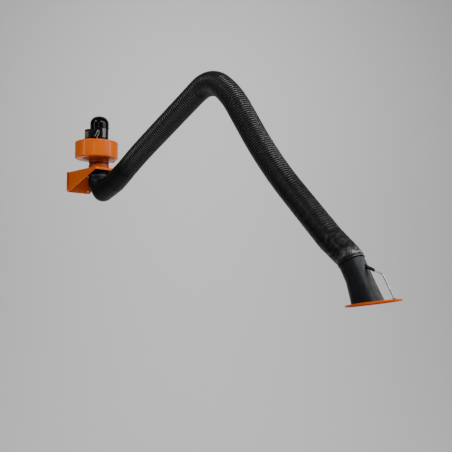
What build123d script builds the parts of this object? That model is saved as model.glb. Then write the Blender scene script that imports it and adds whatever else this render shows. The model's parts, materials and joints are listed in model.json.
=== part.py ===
"""Welding fume extractor on a wall bracket: fan and motor on top, hose arm with a hood below.

Millimetres. The origin is the middle of the wall plate's back face, +X runs right along the
wall, +Y into the wall and +Z up. The arm stands square to the wall, so it lies in the plane
x = 0. Places on it are given as "out", from the swivel's axis away from the wall, and "up",
from the top face of the bracket. The arm stands as it is used: reaching out over a bench.
"""
import os
from math import cos, pi, radians, sin, tan

from build123d import *

# Clearances that are shared by all pieces.
SEAT_GAP = 0.3           # between pieces that rest against each other
FIT_GAP = 0.1            # between a piece and the collar or hole that holds it
RUN_GAP = 0.05           # radial, between a pin and the bore that turns on it
OVERRUN = 10.0           # how far a cutting shape passes the face that it cuts

# Wall bracket, welded from bent and cut sheet.
BRACKET_REACH = 420.0
BRACKET_HEIGHT = 170.0
TOP_PLATE_WIDTH = 200.0
WALL_PLATE_WIDTH = 236.0
WALL_PLATE_THICKNESS = 6.0
SHEET_THICKNESS = 5.0
LIP_HEIGHT = 20.0
LIP_BEND_RADIUS = 8.0
WALL_CORNER_CHAMFER = 14.0
GUSSET_FOOT_GAP = 4.0
WALL_HOLE_RADIUS = 5.5
WALL_HOLE_SPACING_X = 178.0
WALL_HOLE_SPACING_Z = 130.0
AXIS_SETBACK = 110.0     # from the bracket's front edge back to the swivel's axis
AXIS_REACH = BRACKET_REACH - AXIS_SETBACK

# Duct pieces around the swivel's axis.
DUCT_RADIUS = 80.5       # outside of the swivel's duct end, which the boot slips over
DUCT_WALL = 3.0
COLLAR_RADIUS = 84.0
BASE_COLLAR_HEIGHT = 30.0
SLEEVE_HEIGHT = 23.0
SLEEVE_WALL = 2.5
INLET_COLLAR_HEIGHT = 18.0
INLET_CONE_RADIUS = 131.0
INLET_CONE_HEIGHT = 11.0
INLET_CONE_RIM = 3.0
EDGE_ROUND = 1.5

# Fan housing: a drum that stands off the duct's axis, as a scroll does.
DRUM_RADIUS = 176.0
DRUM_SIDE_HEIGHT = 125.0
DRUM_WALL = 2.5
DRUM_RIM_ROUND = 12.0
SCROLL_OFFSET = 15.0     # along X and along Y
FLOOR_HOLE_RADIUS = 112.0
LID_SKIRT = 9.0
OUTLET_WIDTH = 96.0
OUTLET_HEIGHT = 96.0
OUTLET_RADIUS = 50.0
OUTLET_NECK = 32.0
OUTLET_COLLAR = 40.0
OUTLET_REACH = 68.0      # from the drum's axis to the start of the neck

# Fan wheel and its shaft.
WHEEL_RADIUS = 128.0
WHEEL_EYE_RADIUS = 74.0
WHEEL_HEIGHT = 78.0
WHEEL_PLATE = 2.0
WHEEL_FLOOR_GAP = 12.0
BLADE_COUNT = 9
BLADE_THICKNESS = 2.0
BLADE_INNER_RADIUS = 62.0
BLADE_SWEEP = 38.0       # degrees that a blade leans back over its length
HUB_RADIUS = 18.0
HUB_HEIGHT = 34.0
SHAFT_RADIUS = 9.5

# Motor, standing on the fan's lid.
MOTOR_RADIUS = 74.0
MOTOR_FLANGE_RADIUS = 84.0
MOTOR_FLANGE_THICKNESS = 7.0
MOTOR_BODY_HEIGHT = 112.0
MOTOR_TOP_STEP = 4.0     # how far the body steps in under the cowl
COWL_RADIUS = 76.5
COWL_HEIGHT = 104.0
COWL_OVERLAP = 8.0
COWL_WALL = 2.0
COWL_DOME_ROUND = 62.0
COWL_SLOT_COUNT = 10
COWL_SLOT_WIDTH = 4.0
COWL_SLOT_INNER = 12.0
COWL_SLOT_OUTER = 34.0
COOLER_RADIUS = 58.0
COOLER_HEIGHT = 22.0
COOLER_BLADE_COUNT = 6
FLANGE_SCREW_COUNT = 4
FLANGE_SCREW_RADIUS = 5.0
FLANGE_SCREW_HEIGHT = 5.0

# Terminal box on the motor's side, its lid, gland and the bonding lead.
BOX_DEPTH = 49.0
BOX_WIDTH = 56.0
BOX_HEIGHT = 78.0
BOX_RISE = 8.0
BOX_ROUND = 4.0
BOX_LID_THICKNESS = 6.0
BOX_SADDLE = 14.0        # how far the box's foot reaches into the motor's side
LABEL_THICKNESS = 0.6
LABEL_MARGIN = 4.0
LABEL_HEIGHT = 54.0
GLAND_RADIUS = 9.0
GLAND_LENGTH = 22.0
GLAND_NUT_LENGTH = 9.0
LEAD_RADIUS = 3.0
# The lead's route from the gland's mouth: along X, towards the front, and up.
LEAD_ROUTE = [(0, 0, 0), (0, 24, 0), (4, 42, 26), (11, 46, 46), (23, 46, 46), (26, 40, 18),
              (15, 30, -2)]
PLATE_WIDTH_ANGLE = 26.0     # degrees of the motor's side that the bare plate covers
PLATE_TURN = -89.0           # degrees from +X to the middle of the bare plate
PLATE_HEIGHT = 76.0
PLATE_DROP = 3.0             # from the cowl's edge to the bare plate
PLATE_THICKNESS = 0.8

# Swivel under the top plate.
SLIDE_RING_THICKNESS = 4.0
SWIVEL_FLANGE_RADIUS = 88.0
SWIVEL_FLANGE_THICKNESS = 5.0
TURN_RING_RADIUS = 93.0
TURN_LIP_THICKNESS = 12.0
SPIGOT_LENGTH = 100.0    # below the top plate's top face
STRAP_HEIGHT = 26.0
STRAP_THICKNESS = 6.0
YOKE_CHEEK = 5.0
YOKE_GAP = 44.0          # clear space between the two cheeks
YOKE_EYE_RADIUS = 24.0

# The arm's skeleton: joints, tubes and friction discs, all inside the hose.
SHOULDER_OUT = 40.0
SHOULDER_DROP = 178.0
LOWER_ARM = 1516.5
LOWER_RISE = 24.5        # degrees above level
UPPER_ARM = 1761.0
UPPER_FALL = 47.0        # degrees below level
ARM_TUBE_RADIUS = 16.0
ARM_TUBE_WALL = 2.5
TONGUE_THICKNESS = 30.0
TONGUE_LENGTH = 46.0
PLUG_LENGTH = 40.0
PIN_RADIUS = 6.0
PIN_HEAD_RADIUS = 10.0
PIN_HEAD_HEIGHT = 7.0
FORK_CHEEK = 5.0
FORK_EYE_RADIUS = 22.0
FORK_REACH = 66.0
SPRING_RADIUS = 13.5
SPRING_WALL = 3.0
HOOP_WIDTH = 8.0
HOOP_WALL = 3.0
HOOP_SPOKE = 6.0
HOOP_HUB_WALL = 4.0
HOOP_EASE = 0.9          # how much smaller than the hose's bore a hoop is

# Hose: each stretch's radius on the crests of its ribs, and the route of its middle line.
RIB_DEPTH = 3.0
HOSE_WALL = 1.5
LOWER_HOSE_RADIUS = 80.3
UPPER_HOSE_RADIUS = 84.5
TAIL_HOSE_RADIUS = 83.0
CUFF_RADIUS = 77.5
LOWER_RIB_PITCH = 18.0
UPPER_RIB_PITCH = 19.5
BOOT_RADIUS = 84.5
BOOT_WALL = 3.5
BOOT_TOP_DROP = 51.0     # where the smooth boot starts below the plate's top face
BOOT_LEAN_DROP = 100.0   # where it starts to lean outwards
BOOT_CORNER_OUT = 78.0
BOOT_CORNER_DROP = 191.0
BOOT_KNEE_OUT = 235.0
BOOT_KNEE_DROP = 136.0
BOOT_END_OUT = 375.0
BOOT_END_DROP = 59.0
BOOT_LAP = 25.0          # how far the ribbed hose reaches into the boot
ROOT_RISE = 29.5         # degrees that the hose rises where it leaves the boot
ROOT_STRAIGHT = 162.0
EASE_RADIUS = 3000.0
HOSE_RISE = 26.4         # degrees that its long straight rises
BEND_LEAD = 144.0        # along the arm, from the elbow bend's piece to the elbow
BEND_REACH = (LOWER_ARM - (BOOT_END_OUT - SHOULDER_OUT) / cos(radians(LOWER_RISE))
              - BEND_LEAD)
LONG_STRAIGHT = BEND_REACH - ROOT_STRAIGHT - EASE_RADIUS * radians(ROOT_RISE - HOSE_RISE)
BEND_STRAIGHT = 23.0     # straight hose before the bend, within the bend's own piece
BEND_RADIUS = 221.5
BEND_FALL = 37.0         # degrees below level where the tight bend ends
SHOULDER_BEND_RADIUS = 793.0
DROP_FALL = 55.0         # degrees below level where the wide bend ends
DROP_STRAIGHT = 230.0
SAG_RADIUS = 3445.0
TAIL_FALL = 45.8         # degrees below level where the sag ends
TAIL_STRAIGHT = 430.0
RIBBED_SAG_SHARE = 0.72  # share of the sag that shows ribs
# Between the tail and the hood's neck: share of the way and share of the turn.
WRIST_SHARES = [(0.33, -0.25), (0.64, -0.30), (0.87, 0.25)]
CUFF_DROP = 19.0         # from the wrist to the cuff's edge, along the hood's axis
CLAMP_WIDTH = 14.0
CLAMP_THICKNESS = 1.6
CLAMP_BOX = 16.0

# Hood, hung from the wrist.
HOOD_FALL = 63.5         # degrees below level of the hood's axis
HOOD_TOP_RADIUS = 75.5
HOOD_TOP_RISE = 8.0      # from the wrist up to the neck's edge, along the hood's axis
HOOD_TUBE_LENGTH = 122.0
HOOD_WALL = 3.0
HOOD_MOUTH_OUT = 2729.0
HOOD_MOUTH_DROP = 1082.0
HOOD_MOUTH_HALF_WIDTH = 84.0
HOOD_MOUTH_HALF_DEPTH = 97.0
HOOD_TILT = 6.9          # degrees that the mouth faces outwards
HOOD_ROLL = 2.9          # degrees that the hood hangs over towards -X
RING_RADIUS = 158.0
RING_SHIFT = 37.0        # the ring's middle lies this far out of the mouth's middle
RING_THICKNESS = 3.0
RING_RIM = 7.0
RING_LIP = 7.0           # flat land between the ring's hole and the hood's wall
BLOCK_SIZE = 24.0
BLOCK_DROP = 36.0        # from the tilting pin to the rolling pin
STEM_RADIUS = 8.0
CROSSBAR_WIDTH = 16.0
CROSSBAR_THICKNESS = 5.0
WRIST_CHEEK = 5.0
WRIST_EYE_RADIUS = 13.0
WRIST_PIN_RADIUS = 5.0
WRIST_PIN_HEAD = 8.0
DAMPER_DROP = 155.0
DAMPER_RADIUS = 72.0
DAMPER_THICKNESS = 2.0
DAMPER_SHAFT_RADIUS = 4.0
DAMPER_SOCKET = 1.5      # how far the shaft's blind end reaches into the hood's wall
DAMPER_HUB = 7.0
DAMPER_BUSH = 9.0
LEVER_LENGTH = 52.0
LEVER_WIDTH = 12.0
LEVER_THICKNESS = 3.0
LEVER_KNOB_RADIUS = 8.0
LEVER_KNOB_LENGTH = 16.0
HANDLE_RADIUS = 4.5
HANDLE_FOOT_SHIFT = 140.0    # from the ring's middle, in the ring's plane
HANDLE_KNEE_OUT = 2837.0
HANDLE_KNEE_DROP = 927.0
HANDLE_END_OUT = 2772.5
HANDLE_END_DROP = 899.0
HANDLE_BEND = 14.0
HANDLE_FOOT_RADIUS = 11.0
HANDLE_FOOT_HEIGHT = 4.0
BOSS_RADIUS = 9.0

# Derived places that several pieces share.
PLATE_TOP = BRACKET_HEIGHT / 2
SLEEVE_BASE = BASE_COLLAR_HEIGHT
INLET_BASE = SLEEVE_BASE + SLEEVE_HEIGHT
DRUM_BASE = INLET_BASE + INLET_COLLAR_HEIGHT + INLET_CONE_HEIGHT
LID_BASE = DRUM_BASE + DRUM_SIDE_HEIGHT
LID_TOP = LID_BASE + LID_SKIRT + DRUM_RIM_ROUND / 2
MOTOR_BASE = LID_TOP + MOTOR_FLANGE_THICKNESS
MOTOR_BODY_TOP = MOTOR_BASE + MOTOR_BODY_HEIGHT
COWL_BASE = MOTOR_BODY_TOP - COWL_OVERLAP
COWL_TOP = COWL_BASE + COWL_HEIGHT
DUCT_BORE = DUCT_RADIUS - DUCT_WALL
BOOT_BORE = BOOT_RADIUS - BOOT_WALL


def at(out, up, side=0.0):
    """A point by its reach from the swivel's axis and its height over the top plate."""
    return Vector(side, -AXIS_REACH - out, PLATE_TOP + up)


def along(rise):
    """The direction that points outwards and rises by so many degrees."""
    return Vector(0, -cos(radians(rise)), sin(radians(rise)))


def across(origin, direction):
    """A plane square to a direction in the arm's plane, with its own X along the wall."""
    return Plane(origin=origin, x_dir=(1, 0, 0), z_dir=direction)


def side_plane(origin):
    """The arm's own plane at a point: local X runs outwards, local Y up, normal to -X."""
    return Plane(origin=origin, x_dir=(0, -1, 0), z_dir=(-1, 0, 0))


def on_axis(level, outer, height, bore=0.0):
    """A ring or disc on the swivel's axis, from a level above the top plate."""
    body = Pos(*at(0, level + height / 2)) * Cylinder(outer, height)
    if bore:
        body -= Pos(*at(0, level + height / 2)) * Cylinder(bore, height + OVERRUN)
    return body


def spread(plane, spots, flat):
    """The same flat shape at several spots of a plane."""
    return Sketch() + [plane * spot * flat for spot in spots]


def rod(start, end, radius):
    """A round bar between two points."""
    run = end - start
    plane = Plane(origin=start, z_dir=run.normalized())
    return extrude(plane * Circle(radius), run.length)


def cross_pin(middle, axis, reach, radius, head_radius, head_height):
    """A pin about an axis with a round head at each end of its reach."""
    pin = rod(middle - axis * reach, middle + axis * reach, radius)
    for turn in (1, -1):
        face = middle + axis * (turn * reach)
        pin += rod(face, face + axis * (turn * head_height), head_radius)
    return pin


SHOULDER = at(SHOULDER_OUT, -SHOULDER_DROP)
LOWER_DIR = along(LOWER_RISE)
ELBOW = SHOULDER + LOWER_DIR * LOWER_ARM
UPPER_DIR = along(-UPPER_FALL)
WRIST = ELBOW + UPPER_DIR * UPPER_ARM
HOOD_DIR = along(-HOOD_FALL)
HOOD_OUT_DIR = along(90 - HOOD_FALL)
MOUTH = at(HOOD_MOUTH_OUT, -HOOD_MOUTH_DROP)
MOUTH_DIR = along(-90 + HOOD_TILT)
MOUTH_OUT_DIR = along(HOOD_TILT)
X_AXIS = Vector(1, 0, 0)


# Wall bracket.

def wall_bracket():
    """Wall plate with four holes, two gussets and the top plate with its folded lip."""
    middle = Pos(0, -WALL_PLATE_THICKNESS / 2, 0)
    plate = middle * Box(WALL_PLATE_WIDTH, WALL_PLATE_THICKNESS, BRACKET_HEIGHT)
    corners = plate.edges().filter_by(Axis.Y).group_by(Axis.Z)[0]
    plate = chamfer(corners, WALL_CORNER_CHAMFER)
    wall = Plane(origin=(0, 0, 0), x_dir=(1, 0, 0), z_dir=(0, -1, 0))
    holes = GridLocations(WALL_HOLE_SPACING_X, WALL_HOLE_SPACING_Z, 2, 2)
    plate -= extrude(spread(wall, holes, Circle(WALL_HOLE_RADIUS)),
                     WALL_PLATE_THICKNESS + OVERRUN)

    wall_side = Plane(origin=(0, 0, PLATE_TOP), x_dir=(0, -1, 0), z_dir=(-1, 0, 0))
    inner_bend = LIP_BEND_RADIUS - SHEET_THICKNESS
    outline = Polyline((0, 0), (BRACKET_REACH, 0), (BRACKET_REACH, -LIP_HEIGHT),
                       (BRACKET_REACH - SHEET_THICKNESS, -LIP_HEIGHT),
                       (BRACKET_REACH - SHEET_THICKNESS, -SHEET_THICKNESS),
                       (0, -SHEET_THICKNESS), close=True)
    strip = make_face(outline)
    outer_corner = strip.vertices().sort_by_distance((BRACKET_REACH, 0))[0]
    strip = fillet(outer_corner, LIP_BEND_RADIUS)
    inner_corner = strip.vertices().sort_by_distance(
        (BRACKET_REACH - SHEET_THICKNESS, -SHEET_THICKNESS))[0]
    strip = fillet(inner_corner, inner_bend)
    top = extrude(wall_side * strip, TOP_PLATE_WIDTH / 2, both=True)
    top -= Pos(0, -AXIS_REACH, PLATE_TOP) * Cylinder(DUCT_BORE, OVERRUN + SHEET_THICKNESS * 2)

    gusset = make_face(Polyline(
        (0, 0), (BRACKET_REACH - LIP_BEND_RADIUS, 0),
        (BRACKET_REACH - SHEET_THICKNESS, -SHEET_THICKNESS),
        (BRACKET_REACH - SHEET_THICKNESS, -LIP_HEIGHT),
        (0, -BRACKET_HEIGHT + GUSSET_FOOT_GAP), close=True))
    bracket = plate + top
    for turn in (1, -1):
        edge = turn * (TOP_PLATE_WIDTH / 2 - SHEET_THICKNESS / 2)
        side = extrude(wall_side * gusset, SHEET_THICKNESS / 2, both=True)
        bracket += Pos(edge, 0, 0) * side
    return bracket


# Duct pieces and the fan.

def base_collar():
    """The ring on the top plate that carries the fan."""
    ring = on_axis(0, COLLAR_RADIUS, BASE_COLLAR_HEIGHT - SEAT_GAP, DUCT_BORE)
    rims = ring.edges().filter_by(GeomType.CIRCLE).group_by(Axis.Z)[-1]
    return fillet(rims.sort_by(SortBy.RADIUS)[-1], EDGE_ROUND)


def neck_sleeve():
    """The rubber sleeve between the two collars."""
    return on_axis(SLEEVE_BASE, DUCT_BORE + SLEEVE_WALL, SLEEVE_HEIGHT - SEAT_GAP, DUCT_BORE)


def inlet_collar():
    """The fan's spun inlet: a collar that opens as a shallow cone under the drum's floor."""
    top = DRUM_BASE - SEAT_GAP - INLET_BASE
    cone = top - INLET_CONE_RIM
    face = make_face(Polyline(
        (DUCT_BORE, 0), (COLLAR_RADIUS, 0), (COLLAR_RADIUS, INLET_COLLAR_HEIGHT),
        (INLET_CONE_RADIUS, cone), (INLET_CONE_RADIUS, top), (FLOOR_HOLE_RADIUS, top),
        (DUCT_BORE, INLET_COLLAR_HEIGHT + INLET_CONE_RIM), close=True))
    foot = face.vertices().sort_by_distance((COLLAR_RADIUS, 0))[0]
    face = fillet(foot, EDGE_ROUND)
    return Pos(*at(0, INLET_BASE)) * revolve(Plane.XZ * face, Axis.Z)


def drum_place(level):
    """A point on the drum's own axis, which stands off the duct's axis."""
    return Pos(-SCROLL_OFFSET, -AXIS_REACH + SCROLL_OFFSET, PLATE_TOP + level)


def fan_housing():
    """The drum: flat floor, round rim, open top, inlet hole and the outlet's window."""
    inner = DRUM_RADIUS - DRUM_WALL
    face = make_face(Polyline(
        (0, 0), (DRUM_RADIUS, 0), (DRUM_RADIUS, DRUM_SIDE_HEIGHT),
        (inner, DRUM_SIDE_HEIGHT), (inner, DRUM_WALL), (0, DRUM_WALL), close=True))
    face = fillet(face.vertices().sort_by_distance((DRUM_RADIUS, 0))[0], DRUM_RIM_ROUND)
    face = fillet(face.vertices().sort_by_distance((inner, DRUM_WALL))[0],
                  DRUM_RIM_ROUND - DRUM_WALL)
    drum = drum_place(DRUM_BASE) * revolve(Plane.XZ * face, Axis.Z)
    drum -= on_axis(DRUM_BASE - OVERRUN, FLOOR_HOLE_RADIUS, OVERRUN * 2)
    window = outlet_middle() * Box(OUTLET_NECK * 4, OUTLET_WIDTH, OUTLET_HEIGHT)
    keep = drum_place(DRUM_BASE) * Box(OUTLET_REACH * 2, DRUM_RADIUS * 4, DRUM_RADIUS * 4)
    return drum - (window - keep)


def outlet_middle():
    """The middle of the outlet's window, beside the drum on the wall's side."""
    lateral = DRUM_RADIUS - DRUM_WALL - OUTLET_WIDTH / 2
    return (drum_place(DRUM_BASE + DRUM_SIDE_HEIGHT / 2)
            * Pos(OUTLET_REACH + OUTLET_NECK * 2, lateral, 0))


def outlet_spigot():
    """The outlet that leaves the drum along its side and turns from square to round."""
    lateral = DRUM_RADIUS - DRUM_WALL - OUTLET_WIDTH / 2
    start = drum_place(DRUM_BASE + DRUM_SIDE_HEIGHT / 2) * Pos(OUTLET_REACH, lateral, 0)
    square = Plane(origin=start.position, x_dir=(0, 1, 0), z_dir=(1, 0, 0))
    straight = DRUM_RADIUS - OUTLET_REACH
    mouth = square.offset(straight + OUTLET_NECK)

    def skin(inset):
        width = OUTLET_WIDTH - FIT_GAP * 2 - inset * 2
        height = OUTLET_HEIGHT - FIT_GAP * 2 - inset * 2
        corner = DRUM_RIM_ROUND - inset
        box = extrude(square * RectangleRounded(width, height, corner), straight)
        turn = loft([square.offset(straight) * RectangleRounded(width, height, corner),
                     mouth * Circle(OUTLET_RADIUS - inset)])
        return box + turn + extrude(mouth * Circle(OUTLET_RADIUS - inset), OUTLET_COLLAR)

    inner = skin(DUCT_WALL)
    inner += extrude(mouth.offset(OUTLET_COLLAR) * Circle(OUTLET_RADIUS - DUCT_WALL), OVERRUN)
    inner += extrude(square.offset(-OVERRUN)
                     * Rectangle(OUTLET_WIDTH - DUCT_WALL * 2 - DRUM_RIM_ROUND,
                                 OUTLET_HEIGHT - DUCT_WALL * 2 - DRUM_RIM_ROUND), OVERRUN * 2)
    spigot = skin(0) - inner
    bowl = drum_place(DRUM_BASE) * Cylinder(DRUM_RADIUS + SEAT_GAP, DRUM_RADIUS * 4)
    return (spigot - bowl).solids().sort_by(SortBy.VOLUME)[-1]


def fan_lid():
    """The drum's lid, with a rounded edge and the hole for the motor's spigot."""
    inner = DRUM_RADIUS - DRUM_WALL
    height = LID_TOP - LID_BASE
    face = make_face(Polyline(
        (0, height), (DRUM_RADIUS, height), (DRUM_RADIUS, SEAT_GAP), (inner, SEAT_GAP),
        (inner, height - DRUM_WALL), (0, height - DRUM_WALL), close=True))
    outer = face.vertices().sort_by_distance((DRUM_RADIUS, height))[0]
    face = fillet(outer, DRUM_RIM_ROUND)
    face = fillet(face.vertices().sort_by_distance((inner, height - DRUM_WALL))[0],
                  DRUM_RIM_ROUND - DRUM_WALL)
    lid = drum_place(LID_BASE) * revolve(Plane.XZ * face, Axis.Z)
    return lid - on_axis(LID_BASE, SHAFT_RADIUS + DRUM_WALL, height + OVERRUN)


def fan_wheel():
    """The wheel: back plate under the lid, swept blades, eye ring and hub."""
    base = DRUM_BASE + WHEEL_FLOOR_GAP
    back = base + WHEEL_HEIGHT - WHEEL_PLATE
    wheel = on_axis(back, WHEEL_RADIUS, WHEEL_PLATE)
    wheel += on_axis(back - HUB_HEIGHT, HUB_RADIUS, HUB_HEIGHT)
    wheel += on_axis(base, WHEEL_RADIUS, WHEEL_PLATE, WHEEL_EYE_RADIUS)
    sweep_angle = radians(BLADE_SWEEP)
    tip = (WHEEL_RADIUS * cos(sweep_angle), WHEEL_RADIUS * sin(sweep_angle))
    bow = (BLADE_INNER_RADIUS + WHEEL_RADIUS) / 2
    middle = (bow * cos(sweep_angle / 3), bow * sin(sweep_angle / 3))
    line = ThreePointArc((BLADE_INNER_RADIUS, 0), middle, tip)
    floor = Plane(origin=at(0, base + WHEEL_PLATE / 2))
    blade = extrude(floor * make_face(offset(line, BLADE_THICKNESS / 2)),
                    WHEEL_HEIGHT - WHEEL_PLATE)
    centre = Axis(at(0, 0), (0, 0, 1))
    for step in range(BLADE_COUNT):
        wheel += blade.rotate(centre, step * 360 / BLADE_COUNT)
    rim = on_axis(base, WHEEL_RADIUS, WHEEL_HEIGHT)
    wheel = wheel & rim
    return wheel - on_axis(back - HUB_HEIGHT, SHAFT_RADIUS + FIT_GAP, HUB_HEIGHT + OVERRUN)


# Motor.

def motor_shaft():
    """One shaft for the fan wheel below and the cooling fan above."""
    base = DRUM_BASE + WHEEL_FLOOR_GAP + WHEEL_HEIGHT - HUB_HEIGHT
    return on_axis(base, SHAFT_RADIUS, COWL_BASE + COWL_OVERLAP + COOLER_HEIGHT * 2 - base)


def motor_body():
    """The motor's casing with its foot flange, a stepped top and the shaft's bore."""
    body = on_axis(LID_TOP, MOTOR_FLANGE_RADIUS, MOTOR_FLANGE_THICKNESS)
    body += on_axis(MOTOR_BASE, MOTOR_RADIUS, MOTOR_BODY_HEIGHT - COWL_OVERLAP - SEAT_GAP)
    body += on_axis(COWL_BASE - SEAT_GAP, COWL_RADIUS - COWL_WALL - MOTOR_TOP_STEP,
                    COWL_OVERLAP + SEAT_GAP)
    rim = body.edges().filter_by(GeomType.CIRCLE).group_by(Axis.Z)[0]
    body = fillet(rim.sort_by(SortBy.RADIUS)[-1], EDGE_ROUND)
    return body - on_axis(LID_TOP, SHAFT_RADIUS + RUN_GAP, MOTOR_BODY_TOP - LID_TOP + OVERRUN)


def motor_cowl():
    """The domed cowl with its ring of slots on top."""
    def dome(radius, height, rounding):
        face = make_face(Polyline((0, 0), (radius, 0), (radius, height), (0, height),
                                  close=True))
        face = fillet(face.vertices().sort_by_distance((radius, height))[0], rounding)
        return Pos(*at(0, COWL_BASE)) * revolve(Plane.XZ * face, Axis.Z)

    cowl = dome(COWL_RADIUS, COWL_HEIGHT, COWL_DOME_ROUND)
    cowl -= dome(COWL_RADIUS - COWL_WALL, COWL_HEIGHT - COWL_WALL, COWL_DOME_ROUND - COWL_WALL)
    length = COWL_SLOT_OUTER - COWL_SLOT_INNER
    top = Plane(origin=at(0, COWL_TOP - COWL_DOME_ROUND / 2))
    slots = PolarLocations(COWL_SLOT_INNER + length / 2, COWL_SLOT_COUNT)
    cowl -= extrude(spread(top, slots, Rectangle(length, COWL_SLOT_WIDTH)), COWL_DOME_ROUND)
    for step in range(FLANGE_SCREW_COUNT):
        turn = Rot(0, 0, (step + 1 / 2) * 360 / FLANGE_SCREW_COUNT)
        lug_reach = MOTOR_TOP_STEP + COWL_WALL / 2 - SEAT_GAP
        place = COWL_RADIUS - COWL_WALL / 2 - lug_reach / 2
        lug = Pos(place, 0, COWL_OVERLAP / 2) * Box(lug_reach, COWL_SLOT_WIDTH * 2, COWL_OVERLAP)
        cowl += Pos(*at(0, COWL_BASE)) * turn * lug
    return cowl


def cooling_fan():
    """The small fan under the cowl."""
    base = MOTOR_BODY_TOP + COOLER_HEIGHT / 2
    fan = on_axis(base, COOLER_RADIUS, DRUM_WALL)
    fan += on_axis(base, HUB_RADIUS, COOLER_HEIGHT)
    blade = (Pos((COOLER_RADIUS + HUB_RADIUS) / 2 - BLADE_THICKNESS, 0, COOLER_HEIGHT / 2)
             * Box(COOLER_RADIUS - HUB_RADIUS, BLADE_THICKNESS, COOLER_HEIGHT))
    for step in range(COOLER_BLADE_COUNT):
        turn = Rot(0, 0, step * 360 / COOLER_BLADE_COUNT)
        fan += Pos(*at(0, base)) * turn * blade
    return fan - on_axis(base, SHAFT_RADIUS + FIT_GAP, COOLER_HEIGHT + OVERRUN)


def flange_screws():
    """Socket screws that hold the motor's flange down."""
    reach = (MOTOR_RADIUS + MOTOR_FLANGE_RADIUS) / 2
    top = Plane(origin=at(0, MOTOR_BASE + FIT_GAP))
    spots = PolarLocations(reach, FLANGE_SCREW_COUNT, start_angle=45)
    screws = extrude(spread(top, spots, Circle(FLANGE_SCREW_RADIUS)), FLANGE_SCREW_HEIGHT)
    return Compound(children=list(screws.solids()))


def box_place(reach, rise, side=0.0):
    """A place on the terminal box: out of the motor's axis towards -X, and up."""
    return Pos(-reach, -AXIS_REACH + side, PLATE_TOP + MOTOR_BASE + BOX_RISE + rise)


def terminal_box():
    """The box on the motor's side, its foot shaped to the casing."""
    inner = MOTOR_RADIUS - BOX_SADDLE
    depth = BOX_DEPTH + BOX_SADDLE - BOX_LID_THICKNESS
    box = box_place(inner + depth / 2, BOX_HEIGHT / 2) * Box(depth, BOX_WIDTH, BOX_HEIGHT)
    box = fillet(box.edges().filter_by(Axis.X), BOX_ROUND)
    box -= on_axis(MOTOR_BASE, MOTOR_RADIUS + FIT_GAP, MOTOR_BODY_HEIGHT)
    return box.solids().sort_by(SortBy.VOLUME)[-1]


def box_face():
    """How far out of the motor's axis the terminal box's lid starts."""
    return MOTOR_RADIUS + BOX_DEPTH - BOX_LID_THICKNESS


def terminal_lid():
    """The lid of the terminal box."""
    start = box_face() + FIT_GAP
    depth = BOX_LID_THICKNESS - FIT_GAP
    lid = box_place(start + depth / 2, BOX_HEIGHT / 2) * Box(depth, BOX_WIDTH, BOX_HEIGHT)
    return fillet(lid.edges().filter_by(Axis.X), BOX_ROUND)


def terminal_label():
    """The bare light label on the terminal box's lid."""
    reach = MOTOR_RADIUS + BOX_DEPTH + FIT_GAP + LABEL_THICKNESS / 2
    return box_place(reach, LABEL_HEIGHT / 2 + LABEL_MARGIN * 2) * Box(
        LABEL_THICKNESS, BOX_WIDTH - LABEL_MARGIN * 2, LABEL_HEIGHT)


def gland_start():
    """Where the gland leaves the terminal box's front side, near the motor."""
    reach = MOTOR_RADIUS + GLAND_RADIUS - EDGE_ROUND
    return box_place(reach, GLAND_RADIUS * 2, -BOX_WIDTH / 2 - FIT_GAP)


def cable_gland():
    """The gland of the bonding lead: a body with a six-sided nut."""
    base = Plane(origin=gland_start().position, x_dir=(1, 0, 0), z_dir=(0, -1, 0))
    gland = extrude(base * RegularPolygon(GLAND_RADIUS, 6), GLAND_NUT_LENGTH)
    gland += extrude(base * Circle(GLAND_RADIUS - EDGE_ROUND), GLAND_LENGTH)
    return gland - extrude(base * Circle(LEAD_RADIUS + FIT_GAP), GLAND_LENGTH + OVERRUN)


def lead_points():
    """The bonding lead's points, from inside the gland's mouth."""
    mouth = gland_start().position - Vector(0, GLAND_LENGTH / 2, 0)
    return [mouth + Vector(along_x, -front, rise) for along_x, front, rise in LEAD_ROUTE]


def lead_foot_place():
    """Where the bonding lead ends, straight below its last point, on the fan's lid."""
    last = lead_points()[-1]
    return Vector(last.X, last.Y, PLATE_TOP + LID_TOP + FIT_GAP)


def bonding_lead():
    """The short lead from the motor's gland to the fan's lid."""
    route = lead_points() + [lead_foot_place() + Vector(0, 0, GLAND_RADIUS)]
    bends = []
    for before, corner, after in zip(route, route[1:], route[2:]):
        shorter = min((corner - before).length, (after - corner).length)
        turn = radians((corner - before).get_angle(after - corner))
        bends.append(0.45 * shorter / tan(turn / 2))
    path = FilletPolyline(*route, radius=bends)
    flat = Plane(origin=path @ 0, z_dir=path % 0) * Circle(LEAD_RADIUS)
    lead = sweep(flat, path=path)
    print("bonding lead: radii", [round(b, 1) for b in bends],
          "volume ratio", round(lead.volume / (pi * LEAD_RADIUS ** 2 * path.length), 3))
    return lead


def lead_foot():
    """The lug that ties the bonding lead to the fan's lid."""
    lug = extrude(Plane(origin=lead_foot_place()) * Circle(GLAND_RADIUS - EDGE_ROUND),
                  GLAND_RADIUS - FIT_GAP)
    rim = lug.edges().filter_by(GeomType.CIRCLE).group_by(Axis.Z)[-1]
    return chamfer(rim, EDGE_ROUND)


def rating_plate():
    """The bare light plate, bent round the motor's side."""
    inner = MOTOR_RADIUS + FIT_GAP
    base = COWL_BASE - PLATE_DROP - PLATE_HEIGHT
    ring = on_axis(base, inner + PLATE_THICKNESS, PLATE_HEIGHT, inner)
    reach = MOTOR_RADIUS * 2
    half = reach * tan(radians(PLATE_WIDTH_ANGLE / 2))
    wedge = make_face(Polyline((0, 0), (reach, -half), (reach, half), close=True))
    cut = extrude(Plane(origin=at(0, base)) * Rot(0, 0, PLATE_TURN) * wedge, PLATE_HEIGHT)
    return ring & cut


# Swivel.

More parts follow.
